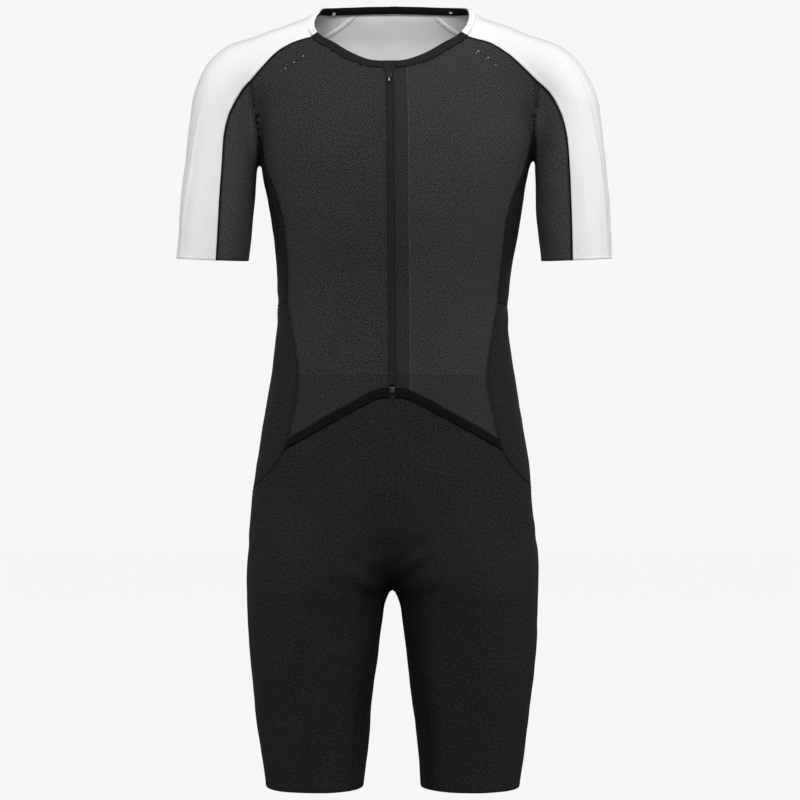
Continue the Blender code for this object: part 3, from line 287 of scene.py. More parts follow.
# Creases and soft unevenness of the cloth. Each crease is a line in one view: front and back by x and z,
# left and right side by y and z. It has a width, a height (below 0 a trough), the place of its deepest
# spot along it, and how much of its height it keeps as a shoulder on its other side.
relief = {
    "seed": 11,
    "unevenness": ((0.35, 85.0), (0.16, 42.0), (0.05, 19.0)),  # height and wavelength
    "facing": (0.02, 0.30),
}
views = {"front": (1, -1), "back": (1, 1), "left": (0, 1), "right": (0, -1)}
creaseTable = (
    # view, width, height, deepest at, shoulder, points
    # lines pressed along the sleeves
    ("front", 1.9, 1.25, 0.55, 0.7,
     (-209, -58), (-226, -88), (-238, -124), (-247, -169), (-254, -221), (-260, -262), (-262, -310)),
    ("front", 2.2, 0.85, 0.6, 0.8,
     (-211, -78), (-222, -118), (-230, -160), (-236, -196), (-245, -246), (-254, -306)),
    ("front", 2.2, 0.35, 0.5, 0.5, (-222, -150), (-226, -190), (-231, -240), (-236, -300)),
    ("front", 2.0, 1.15, 0.5, 0.7,
     (211, -60), (228, -92), (240, -128), (249, -175), (256, -228), (262, -306)),
    ("front", 2.4, 0.80, 0.6, 0.8,
     (213, -84), (225, -124), (233, -168), (239, -206), (248, -258), (255, -303)),
    ("front", 2.2, 0.35, 0.5, 0.5, (224, -160), (228, -204), (233, -256), (237, -300)),
    ("back", 2.2, 0.9, 0.55, 0.6, (-222, -72), (-238, -122), (-248, -180), (-256, -240), (-261, -300)),
    ("back", 2.8, 0.7, 0.6, 0.7, (-212, -98), (-225, -150), (-232, -205), (-240, -262)),
    ("back", 2.2, 0.9, 0.5, 0.6, (223, -66), (238, -114), (249, -176), (256, -232), (262, -308)),
    ("back", 2.7, 0.7, 0.5, 0.7, (214, -90), (227, -142), (234, -198), (243, -268)),
    # short folds at the inner side of the sleeves and at the armpits
    ("front", 4.5, -0.75, 0.4, 0.5, (-212, -158), (-205, -163), (-196, -170), (-186, -182)),
    ("front", 5.5, -0.6, 0.6, 0.4, (-205, -178), (-195, -186), (-186, -198)),
    ("front", 4.0, -0.55, 0.5, 0.5, (209, -166), (198, -174), (189, -187)),
    ("front", 6.0, -1.1, 0.7, 0.4, (-160, -118), (-165, -145), (-169, -170)),
    ("front", 6.5, -1.0, 0.7, 0.4, (158, -112), (164, -142), (169, -172)),
    ("front", 7.5, -0.7, 0.5, 0.5, (-149, -150), (-156, -170), (-160, -196)),
    ("front", 7.0, -0.7, 0.4, 0.5, (150, -146), (157, -168), (161, -190)),
    ("back", 7.0, -1.3, 0.6, 0.5, (-156, -120), (-163, -146), (-168, -176)),
    ("back", 6.5, -1.2, 0.6, 0.5, (157, -114), (164, -144), (168, -170)),
    ("back", 8.0, -1.1, 0.4, 0.5, (-118, -124), (-136, -146), (-152, -178)),
    ("back", 8.5, -1.0, 0.5, 0.5, (112, -130), (133, -150), (151, -184)),
    ("back", 6.0, -0.7, 0.5, 0.5, (-205, -160), (-193, -176), (-186, -192)),
    ("back", 5.5, -0.65, 0.5, 0.5, (207, -152), (196, -170), (188, -186)),
    # the cloth under the chest
    ("front", 24.0, -1.2, 0.45, 0.0, (-128, -196), (-104, -216), (-70, -226), (-34, -222)),
    ("front", 24.0, -1.1, 0.5, 0.0, (126, -200), (100, -218), (66, -226), (32, -220)),
    # crotch and front of the legs
    ("front", 8.0, -2.55, 0.35, 0.6, (-6, -706), (-20, -692), (-38, -676), (-60, -664)),
    ("front", 7.5, -2.25, 0.3, 0.6, (8, -704), (22, -690), (42, -676), (58, -668)),
    ("front", 9.0, -1.80, 0.4, 0.5, (-10, -722), (-30, -714), (-52, -703), (-80, -696)),
    ("front", 9.0, -1.65, 0.4, 0.5, (12, -724), (34, -715), (56, -707), (76, -702)),
    ("front", 10.0, -1.20, 0.5, 0.4, (-4, -668), (-22, -660), (-44, -656)),
    ("front", 9.0, -1.20, 0.5, 0.4, (6, -664), (26, -654), (50, -648)),
    ("front", 11.0, -1.05, 0.5, 0.5, (-36, -780), (-54, -768), (-78, -762)),
    ("front", 12.0, -1.05, 0.5, 0.5, (38, -796), (58, -782), (84, -777)),
    ("front", 12.0, -0.75, 0.5, 0.5, (-142, -548), (-120, -562), (-92, -566)),
    ("front", 12.0, -0.75, 0.5, 0.5, (146, -556), (122, -570), (96, -572)),
    # the waist at the back and the seat
    ("back", 12.0, -1.5, 0.5, 0.6, (-118, -356), (-80, -366), (-38, -362), (-6, -368)),
    ("back", 10.0, -1.2, 0.4, 0.6, (104, -372), (66, -380), (30, -377)),
    ("back", 13.0, -1.3, 0.6, 0.6, (-96, -398), (-52, -404), (-8, -398), (44, -402)),
    ("back", 9.0, -0.9, 0.5, 0.6, (120, -336), (92, -344), (58, -343)),
    ("back", 11.0, -1.0, 0.5, 0.5, (-60, -424), (-20, -429), (28, -425)),
    ("back", 9.0, -1.8, 0.35, 0.6, (-8, -716), (-28, -702), (-56, -694), (-86, -696)),
    ("back", 9.0, -1.7, 0.35, 0.6, (9, -714), (30, -699), (60, -692), (82, -693)),
    ("back", 8.0, -1.3, 0.4, 0.6, (-12, -738), (-34, -728), (-62, -722)),
    ("back", 8.5, -1.2, 0.4, 0.6, (13, -741), (38, -731), (70, -727)),
    ("back", 16.0, -1.4, 0.5, 0.2, (0, -560), (1, -610), (-1, -660), (0, -700)),
    ("back", 12.0, -0.8, 0.5, 0.5, (-52, -800), (-80, -792), (-118, -797)),
    ("back", 12.0, -0.8, 0.5, 0.5, (48, -812), (82, -802), (112, -806)),
    # the flanks
    ("left", 9.0, -0.9, 0.5, 0.6, (-58, -352), (-20, -362), (24, -358)),
    ("left", 9.0, -0.8, 0.5, 0.6, (-34, -388), (4, -394), (46, -386)),
    ("right", 9.0, -0.9, 0.5, 0.6, (-50, -346), (-12, -356), (30, -350)),
    ("right", 10.0, -0.8, 0.5, 0.6, (-40, -378), (2, -386), (40, -380)),
    ("left", 10.0, -0.8, 0.5, 0.5, (-40, -640), (-4, -648), (38, -640)),
    ("right", 10.0, -0.8, 0.5, 0.5, (-36, -648), (0, -655), (44, -645)),
)


def smoothLine(points, place, at):
    # a smooth line through points that stand at the given places along it
    names = ["place", *(f"c{k}" for k in range(len(points[0])))]
    table = smoothTable(" ".join(names), *np.column_stack([place, points]).tolist())
    return np.stack([getattr(table, name)(at) for name in names[1:]], -1)


def curveThrough(points, count):
    # a smooth line through a few points
    length = lengthAlong(np.array(points, float))
    return smoothLine(points, length, np.linspace(0, length[-1], count))


def creaseHeight(p, n):
    total = np.zeros(len(p))
    for view, width, height, peak, shoulder, *points in creaseTable:
        axis, side = views[view]
        across = 1 - axis
        flat = p[:, [across, 2]]
        line = curveThrough(points, 14)
        reach = 3.2 * width
        near = ((flat > line.min(0) - reach) & (flat < line.max(0) + reach)).all(1) & (side * n[:, axis] > 0)
        if not near.any():
            continue
        q = flat[near]
        best = np.full(len(q), 1e9)
        signed = np.zeros(len(q))
        along = np.zeros(len(q))
        for k, (a, b) in enumerate(zip(line, line[1:])):
            run = b - a
            t = np.clip(((q - a) @ run) / (run @ run), 0, 1)
            off = q - a - t[:, None] * run
            distance = np.hypot(*off.T)
            closer = distance < best
            best[closer] = distance[closer]
            signed[closer] = (run[0] * off[:, 1] - run[1] * off[:, 0])[closer]
            along[closer] = ((k + t) / (len(line) - 1))[closer]
        signed = np.sign(signed) * best
        rise = np.clip(along / peak, 0, 1)
        fall = np.clip((1 - along) / (1 - peak), 0, 1)
        fade = np.minimum(np.sin(rise * math.pi / 2), np.sin(fall * math.pi / 2)) ** 0.8
        beside = (signed - 1.5 * width) / (1.2 * width)
        shape = np.exp(-(signed / width) ** 2) - shoulder * np.exp(-beside ** 2)
        facing = smoothStep(*relief["facing"], side * n[near, axis])
        total[near] += height * fade * shape * facing
    return total


random = np.random.default_rng(relief["seed"])
ripples = []
for rippleHeight, wavelength in relief["unevenness"]:
    for _ in range(7):
        direction = random.normal(size=3)
        direction *= 2 * math.pi / wavelength / np.linalg.norm(direction) * random.uniform(0.7, 1.3)
        ripples.append((rippleHeight * random.uniform(0.4, 0.9), direction, random.uniform(0, 6.28)))


def clothHeight(p, n):
    # how far the cloth lies off the figure
    soft = sum(height * np.sin(p @ direction + shift) for height, direction, shift in ripples)
    calm = smoothStep(6, 45, np.abs(p[:, 0])) + smoothStep(-480, -560, p[:, 2]) + (n[:, 1] > 0)
    return creaseHeight(p, n) + soft * np.clip(calm, 0.15, 1)


# Reading the CAD solids

def cadSkin(name, low):
    # the outer face of a panel's solid: points and triangles
    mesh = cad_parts[name].data
    points = np.empty(len(mesh.vertices) * 3, np.float32)
    mesh.vertices.foreach_get("co", points)
    mesh.calc_loop_triangles()
    triangles = np.empty(len(mesh.loop_triangles) * 3, np.int32)
    mesh.loop_triangles.foreach_get("vertices", triangles)
    welded, index = np.unique(np.round(points.reshape(-1, 3) / mm, 2), axis=0, return_inverse=True)
    triangles = index.reshape(-1)[triangles.reshape(-1, 3)]
    triangles = triangles[(figureGap(welded)[triangles] > low).all(axis=1)]
    used, triangles = np.unique(triangles, return_inverse=True)
    return welded[used], triangles.reshape(-1, 3)


def borderOf(triangles):
    # indices of the border of an open surface, anticlockwise from outside
    sides = np.concatenate([triangles[:, [0, 1]], triangles[:, [1, 2]], triangles[:, [2, 0]]]).tolist()
    have = {tuple(s) for s in sides}
    after = {a: b for a, b in sorted(have) if (b, a) not in have}
    loop = [min(after)]
    while after[loop[-1]] != loop[0]:
        loop.append(after[loop[-1]])
    return loop


def resampled(line, step):
    length = lengthAlong(line)
    return readLine(line, length, np.linspace(0, length[-1], max(2, round(length[-1] / step) + 1)))


panels = {
    # kind: the record's slot, the finish, and cuts of each edge
    "front": ("mesh_knit", "meshKnit", 4),
    "sleeve_top": ("white_knit", "whiteKnit", 7),
    "sleeve_under": ("smooth_knit", "smoothKnit", 6),
    # the side panels and back body wear the smooth knit painted darker, as painted shade
    "side_panel": ("smooth_knit", "sideKnit", 4),
    "back_yoke": ("white_knit", "whiteKnit", 4),
    "back_body": ("smooth_knit", "sideKnit", 4),
    "hip_side": ("shorts_jersey", "shortsJersey", 4),
    "shorts_front": ("shorts_jersey", "shortsJersey", 4),
    "shorts_back": ("shorts_jersey", "shortsJersey", 4),
    "gusset": ("shorts_jersey", "shortsJersey", 4),
}
pairs = ("front", "sleeve_top", "sleeve_under", "side_panel", "hip_side")
panelNames = {}
for panelKind in panels:
    for ending in ("_left", "_right") if panelKind in pairs else ("",):
        panelNames[panelKind + ending] = panelKind
skins = {name: cadSkin(name, -0.75) for name in panelNames}
borders = {name: skin[0][borderOf(skin[1])] for name, skin in skins.items()}
print("suit: panel outlines read")


def seamsBetween(first, second, reach=0.9):
    # the lines that two panels share, in order
    a, b = borders[first], borders[second]
    gap = np.linalg.norm(a[:, None] - b[None], axis=2)
    shared = gap.min(1) < reach
    if not shared.any():
        return []
    start = next(i for i in range(len(a)) if shared[i] and not shared[i - 1])
    runs = [[]]
    for i in [(start + k) % len(a) for k in range(len(a))]:
        if shared[i]:
            runs[-1].append(i)
        elif runs[-1]:
            runs.append([])
    lines = [(a[run] + b[gap[run].argmin(1)]) / 2 for run in runs if len(run) > 2]
    return [line for line in lines if lengthAlong(line)[-1] > 12]


# Mesh making

def newPiece(name, points, faces, material, slotName, body="suit", hung=True):
    mesh = bpy.data.meshes.new(name)
    points = swayed(points) if hung else np.asarray(points)
    mesh.from_pydata((points * mm).tolist(), [], faces)
    piece = bpy.data.objects.new(name, mesh)
    scene.collection.objects.link(piece)
    mesh.materials.append(material)
    mesh.shade_smooth()
    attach(piece, body)
    return piece


def joined(parts):
    # several sets of points and faces as one
    points, faces, count = [], [], 0
    for p, f in parts:
        points.append(p)
        faces += [[i + count for i in face] for face in f]
        count += len(p)
    return np.concatenate(points), faces


def loft(rows, closed=False):
    # points and faces of a tube through rows of points, facing out, with flat ends or closed into a ring
    rows = np.asarray(rows)
    n, m, _ = rows.shape
    i, k = np.meshgrid(np.arange(n if closed else n - 1), np.arange(m), indexing="ij")
    after, later = (k + 1) % m, (i + 1) % n
    quads = np.stack([i * m + k, i * m + after, later * m + after, later * m + k], -1).reshape(-1, 4)
    points = rows.reshape(-1, 3)
    a, b, c, d = ((points - points.mean(0))[quads[:, j]] for j in range(4))
    volume = (a * np.cross(b, c)).sum() + (a * np.cross(c, d)).sum()
    faces = quads.tolist()
    if not closed:
        faces += [list(range(m))[::-1], [(n - 1) * m + j for j in range(m)]]
    return points, faces if volume > 0 else [f[::-1] for f in faces]


def onCloth(points, rounds=1, rise=0.0):
    # points brought onto the cloth, and its outward directions there
    points, out = settled(points, rounds)
    return points + (rise + clothHeight(points, out))[:, None] * out, out


def stripRows(sideA, sideB, profile):
    # sections of a strip between two lines: the profile gives the share across and the height
    share, height = np.array(profile, float).T
    across = sideA[:, None] + share[None, :, None] * (sideB - sideA)[:, None]
    points, _ = onCloth(across.reshape(-1, 3), 3, np.tile(height, len(sideA)))
    return points.reshape(across.shape)


def besideLine(line, distance):
    # a line moved sideways on the figure, to the left as it runs
    run = unit(np.gradient(line, axis=0))
    moved, out = settled(line, 1)
    return settled(moved + distance * np.cross(out, run), 2)[0]


def roundProfile(top, bottom):
    # an oval section, as shares across and heights
    middle, half = (top + bottom) / 2, (top - bottom) / 2
    return [(0.5 + 0.5 * math.cos(t), middle + half * math.sin(t)) for t in turns(8)]


def flatProfile(top, bottom, corner=0.06):
    # a flat strip with rounded edges
    step = (top - bottom) * 0.22
    upper = [(0.0, (top + bottom) / 2), (corner / 3, top - step), (corner, top)]
    upper += [(0.5, top), (1 - corner, top), (1 - corner / 3, top - step), (1.0, (top + bottom) / 2)]
    lower = [(1 - corner / 3, bottom + step), (1 - corner, bottom), (0.5, bottom), (corner, bottom)]
    return upper + lower + [(corner / 3, bottom + step)]


def ribbon(line, width, profile, shift=0.0):
    # a narrow strip along one line on the figure
    return loft(stripRows(besideLine(line, shift - width / 2), besideLine(line, shift + width / 2), profile))


beadRings = (
    # place along the bead, girth, rise
    (0.0, 0.45, -0.20), (0.22, 1.0, 0.10), (0.78, 1.0, 0.10), (1.0, 0.45, -0.20),
)
beadCorners = 5


def beads(name, a, b, out, look, material, slotName):
    # a short round bead from each point a to its point b, with ends that sink away
    run = b - a
    side = unit(np.cross(out, run)) * look.get("flat", 1.25)
    rings = look.get("rings", beadRings)
    points = []
    for place, girth, rise in rings:
        centre = a + place * run + (rise + look["lift"]) * out
        radius = look["thickness"] / 2 * girth
        for t in turns(beadCorners) + math.pi / 2:
            points.append(centre + radius * (math.cos(t) * side + math.sin(t) * out))
    m = len(points)
    faces = [list(range(beadCorners)), [m - 1 - k for k in range(beadCorners)]]
    for low in range(m - beadCorners):
        high = low + 1 if (low + 1) % beadCorners else low + 1 - beadCorners
        faces.append([low, low + beadCorners, high + beadCorners, high])
    faces = [[j + i * m for j in face] for i in range(len(a)) for face in faces]
    newPiece(name, np.stack(points, 1).reshape(-1, 3), faces, material, slotName)


def stitches(name, lines, look, material, slotName):
    # rows of stitches along lines on the cloth
    ends = [[], [], []]
    for line in lines:
        line = resampled(line, 1.0)
        length = lengthAlong(line)
        count = int(length[-1] // (look["length"] + look["gap"]))
        if count < 1:
            continue
        step = length[-1] / count
        first = np.arange(count) * step + look["gap"] / 2
        both = [readLine(line, length, at) for at in (first, first + step - look["gap"])]
        points, out = onCloth(np.concatenate(both), 2)
        for kept, part in zip(ends, (points[:count], points[count:], out[:count])):
            kept.append(part)
    beads(name, *(np.concatenate(kept) for kept in ends), look, material, slotName)


# Shader building. A wire is a value in a node tree: sums and products of wires make its Math nodes.

class Wire:
    def __init__(self, socket):
        self.socket = socket

    def __add__(self, other):
        return calc("ADD", self, other)

    def __radd__(self, other):
        return calc("ADD", other, self)

    def __sub__(self, other):
        return calc("SUBTRACT", self, other)

    def __rsub__(self, other):
        return calc("SUBTRACT", other, self)

    def __mul__(self, other):
        return calc("MULTIPLY", self, other)

    def __truediv__(self, other):
        return calc("DIVIDE", self, other)


def feed(socket, value):
    # a wire or a plain value into a socket
    if isinstance(value, Wire):
        socket.id_data.links.new(value.socket, socket)
    else:
        socket.default_value = value


def addNode(tree, kind, output, inputs=(), **settings):
    made = tree.nodes.new("ShaderNode" + kind)
    for key, value in settings.items():
        setattr(made, key, value)
    for key, value in dict(inputs).items():
        feed(made.inputs[key], value)
    return Wire(made.outputs[output])


def calc(operation, *values):
    tree = next(value.socket.id_data for value in values if isinstance(value, Wire))
    return addNode(tree, "Math", 0, enumerate(values), operation=operation)


def ramp(value, low, high, lowTo=0.0, highTo=1.0):
    inputs = {"Value": value, "From Min": low, "From Max": high, "To Min": lowTo, "To Max": highTo}
    return addNode(value.socket.id_data, "MapRange", "Result", inputs, interpolation_type="SMOOTHSTEP")


def noise(place, scale, detail):
    return addNode(place.socket.id_data, "TexNoise", 0, {"Vector": place, "Scale": scale, "Detail": detail})


def objectPlace(tree):
    return addNode(tree, "TexCoord", "Object")


def apart(vector):
    # the three parts of a vector
    first = addNode(vector.socket.id_data, "SeparateXYZ", 0, {0: vector})
    return [Wire(socket) for socket in first.socket.node.outputs]


def wave(kind, value, turn=2 * math.pi):
    return calc(kind, value * turn)


def newGroup(name, inputs, outputs, build):
    # build takes a wire for each input and gives one for each output; an input of None is a vector
    group = bpy.data.node_groups.new(name, "ShaderNodeTree")
    for label, value in inputs.items():
        kind = "NodeSocketVector" if value is None else "NodeSocketFloat"
        socket = group.interface.new_socket(label, in_out="INPUT", socket_type=kind)
        if value is not None:
            socket.default_value = value
    for label in outputs:
        group.interface.new_socket(label, in_out="OUTPUT", socket_type="NodeSocketFloat")
    given = group.nodes.new("NodeGroupInput").outputs
    result = group.nodes.new("NodeGroupOutput").inputs
    for label, value in zip(outputs, build(group, *(Wire(given[label]) for label in inputs))):
        feed(result[label], value)
    return group


def useGroup(tree, group, inputs):
    made = tree.nodes.new("ShaderNodeGroup")
    made.node_tree = group
    for key, value in inputs.items():
        feed(made.inputs[key], value)
    return [Wire(socket) for socket in made.outputs]


def poreKnit(group, cut, outward, wale, course, sinking, waver, speck):
    # an open knit: two slanting families of pore rows that cross, one of them stronger
    coarse, fine, grain = noise(cut, 38.0, 2.0), noise(cut, 210.0, 1.0), noise(cut, 470.0, 1.0)
    x, y, _ = apart(cut)
    up = y / course + ((coarse - 0.5) * waver + (fine - 0.5) * 0.4)
    out = x * outward / wale
    climbing, falling = wave("COSINE", up - out), wave("COSINE", up + out)
    share = calc("MINIMUM", sinking + ramp(noise(cut, 16.0, 1.0), 0.4, 0.7, 0.18, 0.42), 0.88)
    mixed = addNode(group, "Mix", "Result", {"Factor": share, "A": climbing, "B": falling})
    return mixed * ramp(coarse, 0.3, 0.7, 0.65, 1.35) + (grain - 0.5) * 4.0 * speck, mixed


def closeKnit(group, cut, wale, course):
    # a close knit: fine V loops in wales, too small to count from a step away
    x, y, _ = apart(cut)
    inWale = calc("PINGPONG", x / wale, 0.5)
    height = wave("SINE", inWale * 1.6 + y / course) * 0.4 + wave("SINE", inWale)
    return (noise(cut, 430.0, 1.5) - 0.5) * 4.0 + height * 0.2, height


def clothShade(group, mottle, seamShade, seamWidth):
    # slow changes of shade, and the doubled cloth and rubbed line beside seams
    seam = ramp(1.0 - addNode(group, "Attribute", "Fac", attribute_name="edge") / seamWidth, 0.0, 0.6)
    cloud = noise(objectPlace(group), 14.0, 3.0)
    return 1.0 + (cloud - 0.5) * mottle - seam * seamShade, seam


def wovenTape(group, pitch, depth):
    # close diagonal ribs of a woven tape
    x, _, z = apart(objectPlace(group))
    height = (wave("SINE", (x - z) / pitch, math.pi) * 0.4 + wave("SINE", (x + z) / pitch)) * depth
    return height, height * 0.06 + 1.0


knit = ("Pattern", "Height")
poreInputs = {
    "Cut": None, "Outward": 1.0, "Wale": 0.0055, "Course": 0.0026,
    "Sinking": 0.0, "Waver": 0.3, "Speck": 0.7,
}
shadeInputs = {"Mottle": 0.06, "Seam Shade": 0.12, "Seam Width": 5.0}
groups = SimpleNamespace(
    poreKnit=newGroup("poreKnit", poreInputs, knit, poreKnit),
    closeKnit=newGroup("closeKnit", {"Cut": None, "Wale": 0.0011, "Course": 0.0009}, knit, closeKnit),
    clothShade=newGroup("clothShade", shadeInputs, ("Shade", "Seam"), clothShade),
    woven=newGroup("wovenTape", {"Pitch": 0.0009, "Depth": 1.0}, ("Height", "Shade"), wovenTape),
)


def newMaterial(name, roughness, metallic=0.0, specular=0.5):
    material = bpy.data.materials.new(name)
    material.use_nodes = True
    inputs = material.node_tree.nodes["Principled BSDF"].inputs
    for key, value in (("Roughness", roughness), ("Metallic", metallic), ("Specular IOR Level", specular)):
        inputs[key].default_value = value
    return material, material.node_tree, inputs


def tint(tree, inputs, colour, shade):
    # a colour times a value that changes over the surface
    scaled = addNode(tree, "VectorMath", "Vector", {0: colour, "Scale": shade}, operation="SCALE")
    feed(inputs["Base Color"], scaled)


def bump(tree, inputs, height, distance):
    settings = {"Height": height, "Distance": distance, "Strength": 1.0}
    feed(inputs["Normal"], addNode(tree, "Bump", "Normal", settings))


meshLook = {
    "colour": (0.0305, 0.0307, 0.0315),
    "roughness": 0.92,
    "wale": 0.0055,
    "course": 0.00263,
    # each pair is right and left of the zip
    "contrast": (0.84, 0.62),
    # painted light: the knit is painted lighter on the wearer's left of the zip, the side the stronger lamps
    # fall on
    "gain": (0.98, 1.14),
    "facingShade": (0.03, 0.26),
    # painted highlight: a paler line along the step at the facing's outer edge, far stronger on the wearer's
    # left
    "facingEdge": (0.10, 0.42),
    "lightest": 2.6,
    "darkest": 0.08,
    "facingHalfWidth": 0.0212,
    "waistTop": -0.447,
    "waistShade": 0.16,
    "sinkFrom": (0.112, 0.128),  # beside the armholes the rows that sink outwards are the stronger ones
    "sinkTop": (-0.150, -0.130),
    "sinkEnd": (-0.235, -0.205),
    "bump": 0.00022,
}


def makeMeshKnit():
    look = meshLook
    material, tree, inputs = newMaterial("meshKnit", look["roughness"], specular=0.03)
    z = apart(objectPlace(tree))[2]
    across = addNode(tree, "Attribute", "Fac", attribute_name="across")
    fromZip = calc("ABSOLUTE", across)
    half, top = look["facingHalfWidth"], look["waistTop"]
    facing = ramp(fromZip, half - 0.0008, half, 1.0, 0.0)
    # painted highlight along the facing's outer edge
    edgeHighlightLine = ramp(calc("ABSOLUTE", fromZip - (half + 0.0007)), 0.0, 0.0011, 1.0, 0.0)
    waist = ramp(z, top - 0.001, top + 0.001, 1.0, 0.0)
    sink = ramp(fromZip, *look["sinkFrom"], 0.0, 0.7) * ramp(z, *look["sinkTop"], 1.0, 0.0)
    knitted, pores = useGroup(tree, groups.poreKnit, {
        "Cut": addNode(tree, "UVMap", 0, uv_map="cut"), "Outward": calc("SIGN", across),
        "Wale": look["wale"], "Course": look["course"], "Sinking": sink * ramp(z, *look["sinkEnd"]),
    })
    shade, seam = useGroup(tree, groups.clothShade, {"Mottle": 0.14, "Seam Shade": 0.1})
    contrast, gain, doubled, edgeHighlight = (
        ramp(across, -0.001, 0.001, *look[key]) for key in ("contrast", "gain", "facingShade", "facingEdge")
    )
    # painted light: one side of the zip is painted lighter than the other
    pattern = calc("MAXIMUM", (knitted * contrast + 1.0) * gain, look["darkest"])
    pattern = calc("MINIMUM", pattern, look["lightest"])
    layers = 1.0 - facing * doubled + waist * -look["waistShade"] + edgeHighlightLine * edgeHighlight
    tint(tree, inputs, look["colour"], pattern * layers * shade)
    bump(tree, inputs, pores * 0.5 + (facing * 1.6 + waist * 0.8) + seam, look["bump"])
    return material


knitLooks = {
    # colour, roughness, wale and course of the loops, contrast, mottle, shade beside seams, bump, painted
    # shade towards the outline
    "whiteKnit": ((0.79, 0.79, 0.804), 0.75, 0.0016, 0.0014, 0.006, 0.02, 0.0, 0.00006, -0.17),
    "smoothKnit": ((0.0450, 0.0452, 0.0460), 0.90, 0.0012, 0.0011, 0.46, 0.16, 0.12, 0.00007, 0.0),
    # painted shade: the smooth knit again, painted far darker for the side panels and back body, where the
    # flanks lie in shade
    "sideKnit": ((0.0125, 0.0125, 0.0132), 0.88, 0.0012, 0.0011, 0.60, 0.12, 0.12, 0.00007, 0.0),
    "shortsJersey": ((0.0158, 0.0158, 0.0170), 0.88, 0.0011, 0.0010, 0.72, 0.10, 0.10, 0.00006, 0.0),
}


def makeKnit(name):
    colour, roughness, wale, course, contrast, mottle, seamShade, depth, paintedOutlineShade = knitLooks[name]
    material, tree, inputs = newMaterial(name, roughness, specular=0.03)
    cut = addNode(tree, "UVMap", 0, uv_map="cut")
    pattern, loops = useGroup(tree, groups.closeKnit, {"Cut": cut, "Wale": wale, "Course": course})
    shade, seam = useGroup(tree, groups.clothShade, {"Mottle": mottle, "Seam Shade": seamShade})
    # painted shade: the colour darkens where the cloth turns away from the camera towards its outline
    outlineShading = ramp(addNode(tree, "LayerWeight", "Facing", {"Blend": 0.5}), 0.42, 0.85, 1.0, 1.0 + paintedOutlineShade)
    tint(tree, inputs, colour, calc("MAXIMUM", pattern * contrast + 1.0, 0.1) * shade * outlineShading)
    feed(inputs["Roughness"], pattern * 0.05 + roughness)
    bump(tree, inputs, loops + seam * 3.0, depth)
    return material


def makeTape(name, colour, roughness, pitch, depth):
    material, tree, inputs = newMaterial(name, roughness, specular=0.04)
    ribs, ribShade = useGroup(tree, groups.woven, {"Pitch": pitch})
    shade, _ = useGroup(tree, groups.clothShade, {"Mottle": 0.1, "Seam Shade": 0.0})
    tint(tree, inputs, colour, ribShade * shade)
    bump(tree, inputs, ribs, depth)
    return material


def makeThread(name, colour):
    material, tree, inputs = newMaterial(name, 0.6, specular=0.15)
    twist = noise(objectPlace(tree), 1800.0, 1.0)
    tint(tree, inputs, colour, (twist - 0.5) * 0.5 + 1.0)
    bump(tree, inputs, twist, 0.00008)
    return material


def makeHard(name, colour, roughness, metallic, wear):
    # plastic or painted metal, a little rubbed and dusty
    material, tree, inputs = newMaterial(name, roughness, metallic)
    cloud = noise(objectPlace(tree), 350.0, 4.0)
    tint(tree, inputs, colour, ramp(cloud, 0.55, 0.75) * wear + 1.0)
    feed(inputs["Roughness"], cloud * 0.2 + (roughness - 0.1))
    bump(tree, inputs, cloud, 0.00003)
    return material


looks = SimpleNamespace(
    meshKnit=makeMeshKnit(),
    **{name: makeKnit(name) for name in knitLooks},
    tape=makeTape("blackTape", (0.0052, 0.0052, 0.0057), 0.62, 0.0010, 0.00008),
    neckband=makeTape("neckband", (0.0175, 0.0178, 0.0185), 0.74, 0.0012, 0.00010),
    whiteBinding=makeTape("whiteBinding", (0.86, 0.86, 0.875), 0.7, 0.0012, 0.00008),
    zipTape=makeTape("zipTape", (0.0210, 0.0210, 0.0220), 0.7, 0.0007, 0.00006),
    blackThread=makeThread("blackThread", (0.0045, 0.0045, 0.005)),
    paleThread=makeThread("paleThread", (0.42, 0.42, 0.43)),
    whiteThread=makeThread("whiteThread", (0.85, 0.85, 0.86)),
    coil=makeHard("zipCoil", (0.02, 0.02, 0.022), 0.42, 0.0, 0.2),
    metal=makeHard("paintedMetal", (0.022, 0.022, 0.024), 0.34, 0.6, 1.5),
    # bare metal for the pull tab's worn strips, which are also painted highlights
    wornMetal=makeHard("wornMetal", (0.66, 0.66, 0.68), 0.26, 1.0, -0.3),
    brightDot=makeHard("paleDot", (0.32, 0.32, 0.33), 0.45, 0.0, 0.1),
)
print("suit: materials made")


# Panels

clothShell = {
    "thickness": 0.9,
    "rim": 1.3,  # width of the soft edge beside a seam
    "edgeDrop": 0.3,
}
flatCuts = {}


def alignCut(uv, corners, height):
    # turns the flat cut so that the given height grows up it, at real size in metres
    a, b, c = (uv[corners[:, k]] for k in range(3))
    e1, e2 = b - a, c - a
    area = (e1[:, 0] * e2[:, 1] - e1[:, 1] * e2[:, 0])
    f1 = height[corners[:, 1]] - height[corners[:, 0]]
    f2 = height[corners[:, 2]] - height[corners[:, 0]]
    sign = np.sign(area)
    gx = (sign * (f1 * e2[:, 1] - f2 * e1[:, 1])).sum()
    gy = (sign * (f2 * e1[:, 0] - f1 * e2[:, 0])).sum()
    turn = math.atan2(gx, gy)
    spin = np.array([[math.cos(turn), math.sin(turn)], [-math.sin(turn), math.cos(turn)]])
    return uv @ spin, abs(area).sum() / 2


